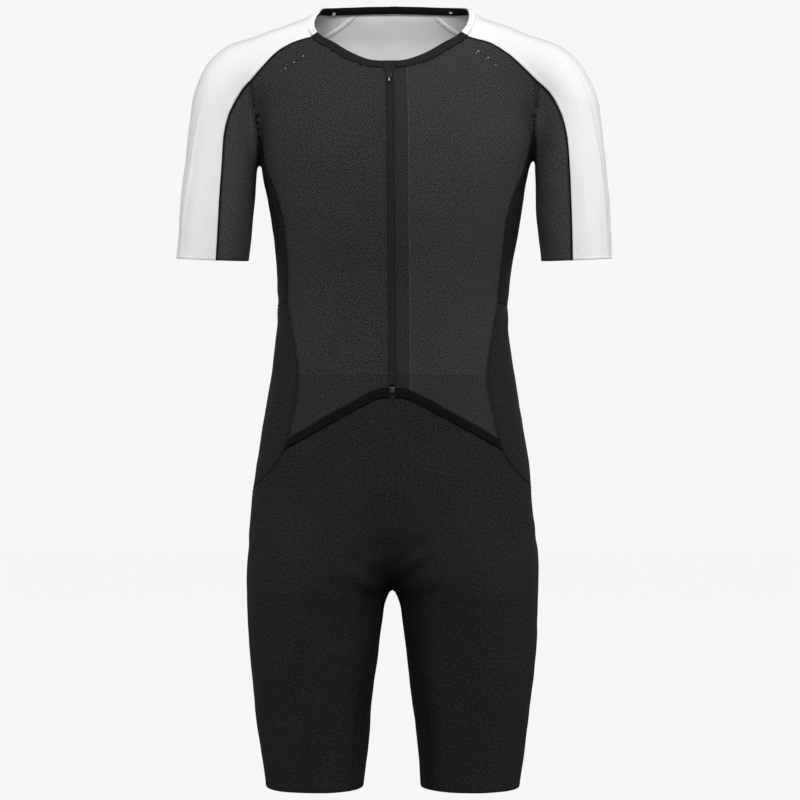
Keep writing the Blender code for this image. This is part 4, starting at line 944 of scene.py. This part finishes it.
def unwrapCut(piece, upward):
    # flattens the panel as it was cut and keeps its flat size
    mesh = piece.data
    mesh.uv_layers.new(name="cut")
    bpy.ops.object.select_all(action="DESELECT")
    piece.select_set(True)
    bpy.context.view_layer.objects.active = piece
    bpy.ops.object.mode_set(mode="EDIT")
    bpy.ops.mesh.select_all(action="SELECT")
    bpy.ops.uv.select_all(action="SELECT")
    bpy.ops.uv.unwrap(method="ANGLE_BASED", margin=0.0)
    bpy.ops.object.mode_set(mode="OBJECT")
    uv = np.empty(len(mesh.loops) * 2, np.float32)
    mesh.uv_layers["cut"].data.foreach_get("uv", uv)
    uv = uv.reshape(-1, 2).astype(float)
    index = np.empty(len(mesh.loops), np.int32)
    mesh.loops.foreach_get("vertex_index", index)
    corners = np.arange(len(mesh.loops)).reshape(-1, 3)
    points = np.array([v.co for v in mesh.vertices])[index]
    spread = np.cross(points[1::3] - points[::3], points[2::3] - points[::3])
    real = 0.5 * np.linalg.norm(spread, axis=1).sum()
    uv, area = alignCut(uv, corners, upward(points / mm))
    uv *= math.sqrt(real / area)
    mesh.uv_layers["cut"].data.foreach_set("uv", uv.astype(np.float32).ravel())
    best = None
    for turn in np.radians(np.arange(0, 90, 1.0)):
        spun = uv @ np.array([[math.cos(turn), -math.sin(turn)], [math.sin(turn), math.cos(turn)]])
        size = spun.max(0) - spun.min(0)
        if best is None or size.prod() < best.prod():
            best = size
    return float(min(best)), float(max(best)), float(real)


def upTheBody(p):
    return p[:, 2]


def upTheArm(p):
    return -alongArm(np.abs(p[:, 0]), p[:, 2])[0]


def acrossTheCrotch(p):
    return p[:, 0]


cutUpward = {"sleeve_top": upTheArm, "sleeve_under": upTheArm, "gusset": acrossTheCrotch}


def pointsOf(mesh):
    return np.array([v.co for v in mesh.verts]) / mm


def movePoints(mesh, points):
    for v, p in zip(mesh.verts, (points * mm).tolist()):
        v.co = p


def keepValues(mesh, name, values):
    mesh.attributes.new(name, "FLOAT", "POINT").data.foreach_set("value", values.astype(np.float32))


def makePanel(name, kind):
    slotName, finish, cuts = panels[kind]
    points, triangles = skins[name]
    material = getattr(looks, finish)
    piece = newPiece(name + "_cloth", points, triangles.tolist(), material, slotName, hung=False)
    flatCuts[name] = unwrapCut(piece, cutUpward.get(kind, upTheBody))
    mesh = bmesh.new()
    mesh.from_mesh(piece.data)
    bmesh.ops.subdivide_edges(mesh, edges=mesh.edges[:], cuts=cuts, use_grid_fill=True)
    movePoints(mesh, settled(pointsOf(mesh))[0])
    bmesh.ops.inset_region(
        mesh, faces=mesh.faces[:], use_boundary=True, use_even_offset=True, thickness=clothShell["rim"] * mm
    )
    mesh.verts.index_update()
    points, out = settled(pointsOf(mesh), 1)
    onBorder = np.array([v.is_boundary for v in mesh.verts])
    tree = KDTree(int(onBorder.sum()))
    for i, p in enumerate(points[onBorder]):
        tree.insert(p, i)
    tree.balance()
    edge = np.array([tree.find(p)[2] for p in points])
    height = clothHeight(points, out) - clothShell["edgeDrop"] * onBorder
    points = points + height[:, None] * out
    movePoints(mesh, swayed(points))
    mesh.to_mesh(piece.data)
    mesh.free()
    keepValues(piece.data, "across", points[:, 0] * mm)
    keepValues(piece.data, "edge", edge)
    piece.data.shade_smooth()
    shell = piece.modifiers.new("cloth", "SOLIDIFY")
    shell.thickness = clothShell["thickness"] * mm
    shell.offset = -1
    shell.use_even_offset = False
    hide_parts(name)
    return piece


for panelName, panelKind in panelNames.items():
    makePanel(panelName, panelKind)


# Seams: a flat band inside that closes each seam, and its stitches outside

seamLook = {
    "bandWidth": 5.5,
    "bandTop": -0.75,
    "bandBottom": -1.45,
    "edgingWidth": 1.9,
    "edgingShift": 0.7,
    "edgingHeights": (0.42, -0.5),
    "rows": (-2.3, 2.3),
}
seamThread = {"length": 2.3, "gap": 0.7, "thickness": 0.42, "lift": 0.02}
combLook = {"pitch": 2.1, "from": 1.2, "to": 3.5, "slant": 0.5, "thread": {"thickness": 0.5, "lift": 0.03}}


def turnedTo(line, first):
    # the line run so that the named panel lies on its left
    p = line[len(line) // 2]
    q = line[len(line) // 2 - 1]
    out = figureNormals(p[None])[0]
    left = np.cross(out, p - q)
    middle = borders[first]
    near = middle[np.linalg.norm(middle - p, axis=1) < 40].mean(0) - p
    return line if near @ left > 0 else line[::-1]


neighbours = {name: set() for name in panelNames}


def isWhite(name):
    return panels[panelNames[name]][0] == "white_knit"


def evened(line, rounds=4):
    # the line without the small corners that facets leave in it
    line = resampled(line, 3.0)
    for _ in range(rounds):
        line[1:-1] = (line[:-2] + 2 * line[1:-1] + line[2:]) / 4
    return settled(line, 2)[0]


def buildComb(lines):
    # short stitches side by side across the edge of the dark cloth
    look = combLook
    ends = [[], [], []]
    for line in lines:
        inner = resampled(besideLine(line, look["from"]), look["pitch"])
        outer = resampled(besideLine(line, look["to"]), 0.5)
        picked = np.linspace(0, len(outer) - 1, len(inner)) + look["slant"] * 2
        picked = outer[np.clip(picked.round().astype(int), 0, len(outer) - 1)]
        for kept, part in zip(ends, (onCloth(inner, 2)[0], *onCloth(picked, 2))):
            kept.append(part)
    a, b, out = (np.concatenate(kept) for kept in ends)
    beads("seam_comb", a, b, out, look["thread"], looks.blackThread, "black_tape")


def buildSeams():
    bands = {"dark": [], "white": []}
    edging, darkRows, whiteRows, combs = [], [], [], []
    total = 0.0
    names = list(panelNames)
    for i, first in enumerate(names):
        for second in names[i + 1:]:
            for line in seamsBetween(first, second):
                neighbours[first].add(second)
                neighbours[second].add(first)
                total += lengthAlong(line)[-1]
                line = evened(line)
                white = isWhite(first), isWhite(second)
                profile = flatProfile(seamLook["bandTop"], seamLook["bandBottom"], 0.12)
                bands["white" if any(white) else "dark"].append(ribbon(line, seamLook["bandWidth"], profile))
                if {panelNames[first], panelNames[second]} == {"front", "shorts_front"}:
                    continue
                if all(white):
                    whiteRows += [besideLine(line, row) for row in seamLook["rows"]]
                elif any(white):
                    line = turnedTo(line, second if white[0] else first)
                    profile = roundProfile(*seamLook["edgingHeights"])
                    edging.append(ribbon(line, seamLook["edgingWidth"], profile, seamLook["edgingShift"]))
                    combs.append(line)
                    whiteRows.append(besideLine(line, seamLook["rows"][0]))
                else:
                    darkRows += [besideLine(line, row) for row in seamLook["rows"]]
    newPiece("seam_bands_dark", *joined(bands["dark"]), looks.tape, "black_tape")
    newPiece("seam_bands_white", *joined(bands["white"]), looks.whiteBinding, "white_knit")
    newPiece("seam_edging", *joined(edging), looks.tape, "black_tape")
    buildComb(combs)
    stitches("seam_stitches_dark", darkRows, seamThread, looks.blackThread, "black_tape")
    stitches("seam_stitches_white", whiteRows, seamThread, looks.whiteThread, "white_knit")
    print("suit: seams,", round(total / 1000, 2), "m in all")


buildSeams()


# Bindings of the neck, tape inside the back neck, and hem band

def stripSides(name, low):
    # the two long sides of a strip's outer face, the upper one first
    points, triangles = cadSkin(name, low)
    ring = points[borderOf(triangles)]
    half = len(ring) // 2
    best = None
    for start in range(half):
        turned = np.roll(ring, -start, axis=0)
        a, b = turned[:half], turned[half:][::-1]
        spread = np.linalg.norm(a - b, axis=1).sum()
        if best is None or spread < best[0]:
            best = spread, a, b
    _, a, b = best
    return (a, b) if a[:, 2].mean() > b[:, 2].mean() else (b, a)


def finer(line, each):
    # a smooth line with more points, the same number between every two
    return smoothLine(line, np.arange(len(line)), np.linspace(0, len(line) - 1, (len(line) - 1) * each + 1))


def makeStrip(name, node, low, profile, material, slotName, sides=None):
    if sides is None:
        sides = [settled(finer(side, 4), 2)[0] for side in stripSides(node, low)]
    piece = newPiece(name, *loft(stripRows(*sides, profile)), material, slotName)
    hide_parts(node)
    return sides


bindingLook = {
    # section of a binding, from the neck edge down: share across and height
    "section": (
        (0.0, -0.35), (0.012, 0.25), (0.05, 0.62), (0.14, 0.84), (0.3, 0.90), (0.6, 0.88), (0.86, 0.84),
        (0.955, 0.62), (0.985, 0.15), (0.975, -0.5), (0.9, -1.0), (0.6, -1.3), (0.2, -1.35), (0.04, -1.0),
    ),
    "stitchShare": 0.84,
    "backing": 7.0,
    "backingHeights": (-1.45, -2.1),
    "thread": {"length": 2.2, "gap": 0.8, "thickness": 0.40, "lift": 0.86},
}
tapeThread = {"length": 2.4, "gap": 0.8, "thickness": 0.42, "lift": 1.9}
neckTapeLook = {"top": -2.3, "bottom": -3.5, "width": 9.8, "from": -1.0}
bandLook = {
    "section": (
        (0.0, 0.1), (0.0, 1.15), (0.035, 1.62), (0.10, 1.84), (0.3, 1.92), (0.7, 1.92), (0.90, 1.84),
        (0.965, 1.62), (1.0, 1.15), (1.0, 0.2), (0.9, 0.05), (0.5, 0.0), (0.1, 0.0),
    ),
    "rows": (0.17, 0.83),
}


def between(a, b, share):
    return settled(a + share * (b - a), 2)[0]


def backingBehind(line):
    # the band inside that closes a binding's lower edge
    look = bindingLook
    return ribbon(resampled(line, 3.0), look["backing"], flatProfile(*look["backingHeights"], 0.1))


def buildTrims():
    frontRows, backRows, bandRows, closing = [], [], [], []
    for side in ("left", "right"):
        node = "neck_binding_front_" + side
        a, b = makeStrip("neckband_" + side, node, -0.6, bindingLook["section"], looks.neckband, "black_tape")
        frontRows.append(between(a, b, bindingLook["stitchShare"]))
        closing.append(backingBehind(b))
        node = "hem_band_" + side
        a, b = makeStrip("waist_band_" + side, node, 1.3, bandLook["section"], looks.tape, "black_tape")
        bandRows += [between(a, b, share) for share in bandLook["rows"]]
    a, b = makeStrip("neck_binding_white", "neck_binding_back", -0.6, bindingLook["section"],
                     looks.whiteBinding, "white_knit")
    backRows.append(between(a, b, bindingLook["stitchShare"]))
    closing.append(backingBehind(b))
    newPiece("neck_binding_backing", *closing.pop(), looks.whiteBinding, "white_knit")
    newPiece("neckband_backing", *joined(closing), looks.neckband, "black_tape")
    upper = a[a[:, 2] > neckTapeLook["from"]]
    upper = upper if upper[0, 0] < upper[-1, 0] else upper[::-1]
    lower = besideLine(upper, -neckTapeLook["width"])
    if lower[:, 2].mean() > upper[:, 2].mean():
        lower = besideLine(upper, neckTapeLook["width"])
    profile = flatProfile(neckTapeLook["top"], neckTapeLook["bottom"], 0.06)
    makeStrip("neck_tape_inside", "neck_tape_back", 0, profile, looks.tape, "black_tape", (upper, lower))
    stitches("neckband_stitches", frontRows, bindingLook["thread"], looks.blackThread, "black_tape")
    stitches("neck_binding_stitches", backRows, bindingLook["thread"], looks.whiteThread, "white_knit")
    stitches("waist_band_stitches", bandRows, tapeThread, looks.blackThread, "black_tape")


buildTrims()
print("suit: bindings and bands")


# Zip: tapes, folded tape edges with the coil behind them, guard, slider, stop and pull tab

zipLook = {
    "fabricEdge": 4.0,
    "mouth": 8.5,
    "parting": (-90, -70),  # where the tapes part towards the open top
    "tapeEnd": -469.0,
    "guardZ": (-66, -112),
    "guardHalfWidth": 11.0,
    "guard": (
        (0, -3.5), (0, -2.9), (0.02, -2.7), (0.5, -2.5), (0.98, -2.7), (1, -2.9), (1, -3.5), (0.5, -3.4),
    ),
    "tape": (1.2, 21.0),
    "foldInner": 0.10,
    "foldOuter": {-1: 3.0, 1: 2.8},
    "top": -70.0,
    "end": -460.0,
    "sliderZ": -87.0,
    "coilPitch": 1.35,
    "coilReach": (-0.55, 2.3),
    "coilSlant": 0.2,
    "coil": {
        "thickness": 0.85, "lift": 0.0, "flat": 1.0,
        "rings": ((0.0, 0.7, -0.1), (0.15, 1.0, 0.1), (0.8, 1.0, 0.1), (1.0, 0.8, -0.2)),
    },
    "coilHeight": -1.25,
    "pullAxis": (-2.55, 0.7),
}
foldSection = (
    # one folded tape edge, from the middle of the zip outwards
    (0.0, -0.55), (0.0, -0.05), (0.06, 0.16), (0.2, 0.27), (0.45, 0.30), (0.7, 0.18), (0.9, -0.20),
    (1.0, -0.9), (1.0, -1.6), (0.9, -1.8), (0.5, -0.85), (0.15, -0.7),
)


def frontLine(x, z, start=-90.0):
    # points of the front at given x and z, or of the back when the search starts behind it
    x, z = np.broadcast_arrays(np.asarray(x, float), np.asarray(z, float))
    p = np.stack([x, np.full(len(z), start), z], -1)
    for _ in range(12):
        gap = figureGap(p)
        slope = (figureGap(p + (0, 0.2, 0)) - figureGap(p - (0, 0.2, 0))) / 0.4
        p[:, 1] -= np.clip(gap / slope, -15, 15)
    return p


def mouthShift(z):
    # how far the tapes part towards the open top
    return (zipLook["mouth"] - zipLook["fabricEdge"]) * smoothStep(*zipLook["parting"], np.asarray(z, float))


def buildZip():
    look = zipLook
    z = np.concatenate([np.linspace(look["top"], -92, 12), np.linspace(-96, look["end"], 120)])
    folds, starts, ends, outs = [], [], [], []
    for side in (-1, 1):
        inner = frontLine(side * (mouthShift(z) + look["foldInner"]), z)
        outer = frontLine(side * (mouthShift(z) + look["foldOuter"][side]), z)
        folds.append(loft(stripRows(inner, outer, foldSection)))
        name = "left" if side > 0 else "right"
        tapeZ = np.append(z, look["tapeEnd"])
        a = frontLine(side * (mouthShift(tapeZ) + look["tape"][0]), tapeZ)
        b = frontLine(side * look["tape"][1], tapeZ)
        piece = newPiece("zip_tape_inside_" + name, *loft(stripRows(a, b, flatProfile(-1.3, -2.2, 0.04))),
                         looks.zipTape, "black_tape")
        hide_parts("zip_tape_" + name)
        at = np.arange(look["top"] - 1.5, look["end"] + 1, -look["coilPitch"])
        at = at + side * look["coilPitch"] / 4
        low, high = look["coilReach"]
        a, out = settled(frontLine(side * (mouthShift(at) + low), at + look["coilSlant"]), 1)
        b, _ = settled(frontLine(side * (mouthShift(at) + high), at - look["coilSlant"]), 1)
        starts.append(a + look["coilHeight"] * out)
        ends.append(b + look["coilHeight"] * out)
        outs.append(out)
    piece = newPiece("zip_folds", *joined(folds), looks.zipTape, "zip_plastic")
    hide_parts("zip_chain")
    beads("zip_coil", *(np.concatenate(part) for part in (starts, ends, outs)), look["coil"],
          looks.coil, "zip_plastic")
    guardZ = np.linspace(*look["guardZ"], 12)
    a, b = (frontLine(side * look["guardHalfWidth"], guardZ) for side in (-1, 1))
    piece = newPiece("zip_guard_flap", *loft(stripRows(a, b, look["guard"])), looks.zipTape, "black_tape")
    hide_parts("zip_guard")
    buildSlider()
    buildStop()
    buildPull()


def placedOnZip(points, z, shift):
    # from a small piece's own frame (across, into the body, up along the cloth) to its place
    spot = frontLine(0.0, [z])[0]
    out = figureNormals(spot[None])[0]
    slope = math.atan2(out[2], -out[1])
    c, s = math.cos(slope), math.sin(slope)
    turn = np.array([[1, 0, 0], [0, c, -s], [0, s, c]])
    return (np.asarray(points, float) + (0, *shift)) @ turn + spot


def atDepth(ring, depth):
    # an outline that runs across and up, at one depth
    return np.column_stack([ring[:, 0], np.full(len(ring), depth), ring[:, 1]])


def plate(outline, front, back, bevel=0.3):
    # a flat piece with rounded edges between two depths
    outline = np.array(outline, float)
    middle = outline.mean(0)
    off = outline - middle
    size = np.linalg.norm(off, axis=1)[:, None]
    edge = ((1, 0), (0.3, 0.3), (0, 1))
    levels = [(inset, front + step * bevel) for inset, step in edge]
    levels += [(inset, back - step * bevel) for inset, step in edge[::-1]]
    return loft([atDepth(middle + off * (1 - inset * bevel / size), depth) for inset, depth in levels])


def roundedOutline(corners, radius, each=6):
    # a closed outline through corners that are rounded off
    corners = np.array(corners, float)
    points = []
    for i, corner in enumerate(corners):
        start = corner + unit(corners[i - 1] - corner) * radius
        end = corner + unit(corners[(i + 1) % len(corners)] - corner) * radius
        for t in np.linspace(0, 1, each):
            points.append((1 - t) ** 2 * start + 2 * t * (1 - t) * corner + t * t * end)
    return points


def barAlong(path, width, depth):
    # a flat rounded bar that follows a path in the plane up and into the body
    turn = turns(8) + math.pi / 8
    a, b = (np.sign(w) * np.abs(w) ** 0.6 for w in (np.cos(turn), np.sin(turn)))
    a, b = a * width / 2, b * depth / 2
    runs = unit(np.gradient(path, axis=0))
    rows = [np.column_stack([a, p[0] - b * run[1], p[1] + b * run[0]]) for p, run in zip(path, runs)]
    return loft(rows)


def ringPlate(outer, inner, front, back, bevel, count=72):
    # a flat piece with a hole: both outlines are divided alike about one middle and joined all round
    middle = np.array([0.0, -3.0])

    def evenRing(line):
        line = np.array([*line, line[0]], float)
        length = lengthAlong(line)
        dense = readLine(line, length, np.linspace(0, length[-1], 1500)[:-1])
        angle = np.arctan2(*(dense - middle).T)
        steps = np.linspace(-math.pi, math.pi, count, endpoint=False)[:, None]
        return dense[np.abs((angle - steps + math.pi) % (2 * math.pi) - math.pi).argmin(1)]

    levels = ((bevel, front), (0.0, front + bevel), (0.0, back - bevel), (bevel, back))
    rings = []
    for ring, way, order in ((evenRing(outer), 1, levels), (evenRing(inner), -1, levels[::-1])):
        rings += [atDepth(ring + way * by * unit(middle - ring), depth) for by, depth in order]
    return loft(rings, closed=True)


def wireRing(path, depth, radius):
    # a thin round ring that follows a closed path at one depth
    run = unit(np.roll(path, -1, axis=0) - np.roll(path, 1, axis=0))
    side = np.column_stack([-run[:, 1], run[:, 0]])
    rings = [atDepth(path + radius * math.cos(t) * side, depth + radius * math.sin(t)) for t in turns(6)]
    return loft(np.stack(rings, 1), closed=True)


def smallPiece(name, parts, z, shift, material, body="suit"):
    points, faces = joined(parts)
    return newPiece(name, placedOnZip(points, z, shift), faces, material, "zip_metal", body)


def replaceSmall(piece, node):
    piece.data.set_sharp_from_angle(angle=math.radians(50))
    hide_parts(node)


def walls(corners, front, back):
    # the same small wall on both sides
    return [plate([(side * x, z) for x, z in corners][::side], front, back, 0.1) for side in (-1, 1)]


sliderLook = {
    "shield": (
        (-2.6, 4.6), (2.6, 4.6), (3.6, 3.2), (3.5, 0.4), (2.9, -4.4), (-2.9, -4.4), (-3.5, 0.4), (-3.6, 3.2),
    ),
    "wedge": ((-1.0, 4.2), (1.0, 4.2), (0.35, 0.8), (-0.35, 0.8)),
    "flange": ((3.5, 2.9), (3.5, 0.2), (2.95, -4.1), (2.35, -4.1), (2.9, 0.2), (2.9, 2.9)),
    "bridge": (
        (-1.2, 2.5), (-2.6, 2.5), (-3.8, 1.9), (-4.2, 0.4),
        (-4.2, -2.2), (-3.7, -3.5), (-2.4, -3.95), (-1.2, -3.95),
    ),
}
stopLook = {
    "z": -462.5,
    "outline": ((-3, 0), (3, 0), (3, -7.5), (-3, -7.5)),
    "wall": ((2.95, -0.8), (2.95, -6.7), (2.3, -6.7), (2.3, -0.8)),
}
pullLook = {
    "widths": (  # height, and half the tab's width there
        (0.5, 1.25), (-1.5, 1.45), (-5.6, 1.5), (-8.0, 1.62), (-11.5, 1.78), (-13.0, 1.35), (-13.4, 0.6),
    ),
    "hole": ((-0.95, -0.62), (0.95, -0.62), (0.95, -5.5), (-0.95, -5.5)),
    "rim": (
        (0.0, -6.9), (1.05, -7.6), (1.22, -10.4), (0.9, -12.2), (0.0, -12.75), (-0.9, -12.2), (-1.22, -10.4),
        (-1.05, -7.6), (0.0, -6.9),
    ),
    "rubbed": (  # bare metal worn through the paint, put on the tab's front where its highlights fall: wear and painted highlight
        ((-1.0, -7.0), (0.5, -7.0), (0.6, -12.3), (-0.9, -12.3)),
        ((-1.5, -0.9), (-0.95, -0.9), (-0.95, -5.2), (-1.5, -5.2)),
    ),
}


def buildSlider():
    outline = roundedOutline(sliderLook["shield"], 0.8, 4)
    parts = [plate(outline, -1.6, -0.75, 0.28), plate(outline, 0.55, 1.4, 0.28)]
    parts.append(plate(roundedOutline(sliderLook["wedge"], 0.3, 3), -1.0, 0.9, 0.1))
    parts += walls(sliderLook["flange"], -1.1, -0.2)
    parts.append(barAlong(curveThrough(sliderLook["bridge"], 26), 1.25, 0.85))
    piece = smallPiece("zip_slider_body", parts, zipLook["sliderZ"], (0, 0), looks.metal)
    replaceSmall(piece, "zip_slider")


def buildStop():
    outline = roundedOutline(stopLook["outline"], 0.9, 4)
    parts = [plate(outline, -2.9, -1.9), plate(outline, -1.5, -0.5), *walls(stopLook["wall"], -2.4, -0.9)]
    replaceSmall(smallPiece("zip_bottom_stop", parts, stopLook["z"], (0, 0), looks.metal), "zip_stop")


def buildPull():
    # the tab hangs from the bridge by its upper bar; its lower end has a raised rim
    line = curveThrough(pullLook["widths"], 30)
    outer = [(w, z) for z, w in line] + [(-w, z) for z, w in line[::-1]]
    parts = [ringPlate(outer, roundedOutline(pullLook["hole"], 0.7, 5), -0.6, 0.6, 0.22)]
    parts += [wireRing(curveThrough(pullLook["rim"], 40)[:-1], face, 0.17) for face in (-0.62, 0.62)]
    place = zipLook["sliderZ"], zipLook["pullAxis"]
    replaceSmall(smallPiece("zip_pull_tab", parts, *place, looks.metal, "pull"), "zip_pull")
    # bright bare metal on the tab's front where its highlights fall: wear and painted highlight
    rubbed = [plate(roundedOutline(corners, 0.35, 5), -0.92, -0.5, 0.16) for corners in pullLook["rubbed"]]
    smallPiece("pull_tab_rubbed", rubbed, *place, looks.wornMetal, "pull")


buildZip()
print("suit: zip")


# Small details: dots near the shoulders, thread tacks at the neck tape's ends and at the cuffs

detailLook = {
    "dots": (  # x, z, whether it is pale, and its size
        (-108.5, -59.3, 1, 1.0), (-119.4, -67.2, 1, 1.0), (-130.1, -74.7, 1, 0.9), (-134.8, -78.1, 1, 0.5),
        (-111.8, -62.4, 0, 0.9), (-115.4, -64.6, 0, 0.9), (-122.4, -69.8, 0, 0.9), (-126.9, -72.6, 0, 0.8),
        (104.6, -53.4, 1, 1.0), (116.5, -61.5, 1, 1.0), (126.0, -70.4, 1, 0.7), (102.0, -55.8, 1, 0.6),
        (113.7, -63.8, 1, 0.5), (107.2, -56.0, 0, 0.9), (113.0, -59.8, 0, 0.9),
        (119.8, -65.4, 0, 0.9), (123.2, -68.4, 0, 0.8),
    ),
    "dotRadius": 0.95,
    "dotSection": ((1.0, -0.3), (1.0, 0.12), (0.86, 0.24), (0.5, 0.3), (0.12, 0.32)),  # share, and height
    "cuffRow": 2.4,
    "tacks": (  # white bars at the ends of the neck tape: x, z and length of each stitch
        (-76.8, 7.4, 8.0), (-76.2, 6.3, 7.0), (-77.4, 5.3, 7.5), (74.6, 8.6, 5.0), (75.2, 7.6, 4.6),
    ),
    "ends": (  # loose ends of thread on the binding: x, z and the way they lie
        (-96.6, -24.6, 0.6), (90.2, -18.6, -0.7),
    ),
    "marks": ((-221.9, -296.0), (-223.2, -304.6), (225.6, -294.4), (226.3, -289.6)),  # at the cuffs' seams
    "thread": {"thickness": 0.55, "lift": 0.1},
}


def hungAt(x, z, start=-90.0):
    # points of the cloth that hang at given x and z
    p = frontLine(x, z, start)
    for _ in range(3):
        moved = swayed(p) - p
        p = frontLine(np.asarray(x) - moved[:, 0], np.asarray(z) - moved[:, 2], start)
    return p


def buildDots():
    kinds = ((1, looks.brightDot, "shoulder_dots_pale"), (0, looks.tape, "shoulder_dots_dark"))
    for bright, material, name in kinds:
        parts = []
        for x, z, kind, size in detailLook["dots"]:
            if kind != bright:
                continue
            spot, out = (found[0] for found in onCloth(hungAt([x], [z])))
            across = unit(np.cross(out, (0, 0, 1)))
            up = np.cross(across, out)
            ring = np.cos(turns(14))[:, None] * across + np.sin(turns(14))[:, None] * up
            rows = [spot + detailLook["dotRadius"] * size * share * ring + rise * out
                    for share, rise in detailLook["dotSection"]]
            parts.append(loft(rows))
        newPiece(name, *joined(parts), material, "mesh_knit")


def buildThreads():
    # bars of thread inside the back neck, two loose ends, and the ends of the cuff seams
    thread = detailLook["thread"]
    x, z, length = (np.array(part) for part in zip(*detailLook["tacks"]))
    middle, out = settled(hungAt(x, z, 60.0), 1)
    middle = middle + neckTapeLook["bottom"] * out
    half = np.column_stack([length / 2, 0 * x, 0 * x])
    beads("neck_tape_tacks", middle - half, middle + half, -out, thread, looks.whiteThread, "white_knit")
    x, z, lean = (np.array(part) for part in zip(*detailLook["ends"]))
    middle, out = onCloth(hungAt(x, z, -40.0), 1, 0.9)
    half = np.cross(out, np.column_stack([np.cos(lean), 0 * lean, np.sin(lean)])) * 1.8
    beads("thread_ends", middle - half, middle + half, out, thread, looks.blackThread, "black_tape")
    x, z = (np.array(part) for part in zip(*detailLook["marks"]))
    middle, out = onCloth(hungAt(x, z))
    half = np.tile((0.15, 0, 1.1), (len(x), 1))
    beads("cuff_marks", middle - half, middle + half, out, thread, looks.paleThread, "white_knit")


def openEdge(name):
    # the open lower edge of a sleeve panel
    ring = borders[name]
    others = np.concatenate([line for other, line in borders.items() if other != name])
    alone = np.array([np.linalg.norm(others - p, axis=1).min() > 1.2 for p in ring])
    reach = alongArm(np.abs(ring[:, 0]), ring[:, 2])[0]
    alone &= reach > reach.max() - 20
    start = next(i for i in range(len(ring)) if alone[i] and not alone[i - 1])
    line = [ring[(start + k) % len(ring)] for k in range(len(ring)) if alone[(start + k) % len(ring)]]
    return evened(np.array(line))


def buildCuffs():
    # the row of stitches that holds each cuff's turned hem
    rows = {"white": [], "dark": []}
    for name, kind in panelNames.items():
        if kind in ("sleeve_top", "sleeve_under"):
            line = openEdge(name)
            inside = [besideLine(line, side * detailLook["cuffRow"]) for side in (-1, 1)]
            along = [alongArm(np.abs(row[:, 0]), row[:, 2])[0].mean() for row in inside]
            rows["white" if kind == "sleeve_top" else "dark"].append(inside[int(np.argmin(along))])
    stitches("cuff_stitches_white", rows["white"], seamThread, looks.whiteThread, "white_knit")
    stitches("cuff_stitches_dark", rows["dark"], seamThread, looks.blackThread, "black_tape")


buildDots()
buildThreads()
buildCuffs()
print("suit: details")


# The size that each panel was cut to

for cutName, (cutWidth, cutLength, cutArea) in flatCuts.items():
    print(f"suit: cut {cutName} {cutWidth:.3f} x {cutLength:.3f} m, {cutArea:.4f} m2")


# Camera, floor and light

studio = {
    "cameraPlace": (0.0093, -3.0, -0.478),
    "lens": 109.3,
    "backdrop": 0.922,
    "fill": 0.16,
    "floorZ": -1.02,
    "floorGlow": 0.912,
    "lights": (
        # place, aimed at, size, power
        ((-0.7, -3.0, 1.5), (0, 0, -0.35), 1.2, 48),
        ((1.15, -2.6, 1.8), (0, 0, -0.35), 1.2, 58),
        ((0, -3.4, -0.7), (0, 0, -0.60), 1.2, 11),
        ((-2.6, 0.0, -0.2), (0, 0, -0.45), 1.4, 26),
        ((2.6, 0.0, -0.2), (0, 0, -0.45), 1.4, 26),
        ((0.2, -0.7, 1.9), (0, 0, -0.20), 1.4, 5),
        ((-1.6, 2.6, 0.5), (0, 0, -0.45), 1.6, 31),
        ((1.6, 2.6, 0.5), (0, 0, -0.45), 1.6, 31),
    ),
    "neckLight": ((-0.14, -0.9, 0.75), (0.01, 0.05, 0.0), 0.30, 14),  # place, aimed at, cone, power
}


def buildStudio():
    camera = bpy.data.objects.new("camera", bpy.data.cameras.new("camera"))
    camera.data.lens = studio["lens"]
    camera.data.sensor_width = 36
    camera.location = studio["cameraPlace"]
    camera.rotation_euler = (math.pi / 2, 0, 0)
    scene.collection.objects.link(camera)
    scene.camera = camera
    for place, aim, size, power in (*studio["lights"], studio["neckLight"]):
        spot = size == studio["neckLight"][2]
        light = bpy.data.lights.new("softbox", "SPOT" if spot else "AREA")
        if spot:
            light.spot_size = size
            light.spot_blend = 1.0
            light.shadow_soft_size = 0.12
        else:
            light.size = size
        light.energy = power
        lamp = bpy.data.objects.new("softbox", light)
        lamp.visible_camera = False
        lamp.location = place
        x, y, z = unit(np.array(aim) - np.array(place))
        lamp.rotation_euler = (math.acos(-z), 0, math.atan2(y, x) - math.pi / 2)
        scene.collection.objects.link(lamp)
    world = bpy.data.worlds.new("paleRoom")
    world.use_nodes = True
    tree = world.node_tree
    background = tree.nodes["Background"].inputs
    seen = addNode(tree, "LightPath", "Is Camera Ray")
    feed(background["Strength"], ramp(seen, 0.0, 1.0, studio["fill"], studio["backdrop"]))
    background["Color"].default_value = (1, 1, 1, 1)
    scene.world = world
    scene.view_settings.view_transform = "Standard"

    middle = (0, 0, studio["floorZ"])
    bpy.ops.mesh.primitive_circle_add(vertices=96, radius=6.0, fill_type="NGON", location=middle)
    floor = bpy.context.object
    floor.name = "floor"
    material, tree, inputs = newMaterial("paleFloor", 0.9, specular=0.0)
    grain = noise(objectPlace(tree), 3.0, 2.0)
    tint(tree, inputs, (1, 1, 1), grain * 0.002 + 0.011)
    inputs["Emission Color"].default_value = (1, 1, 1, 1)
    seen = addNode(tree, "LightPath", "Is Camera Ray")
    feed(inputs["Emission Strength"], ramp(seen, 0.0, 1.0, studio["fill"], studio["floorGlow"]))
    floor.data.materials.append(material)


buildStudio()
print("suit: studio ready")
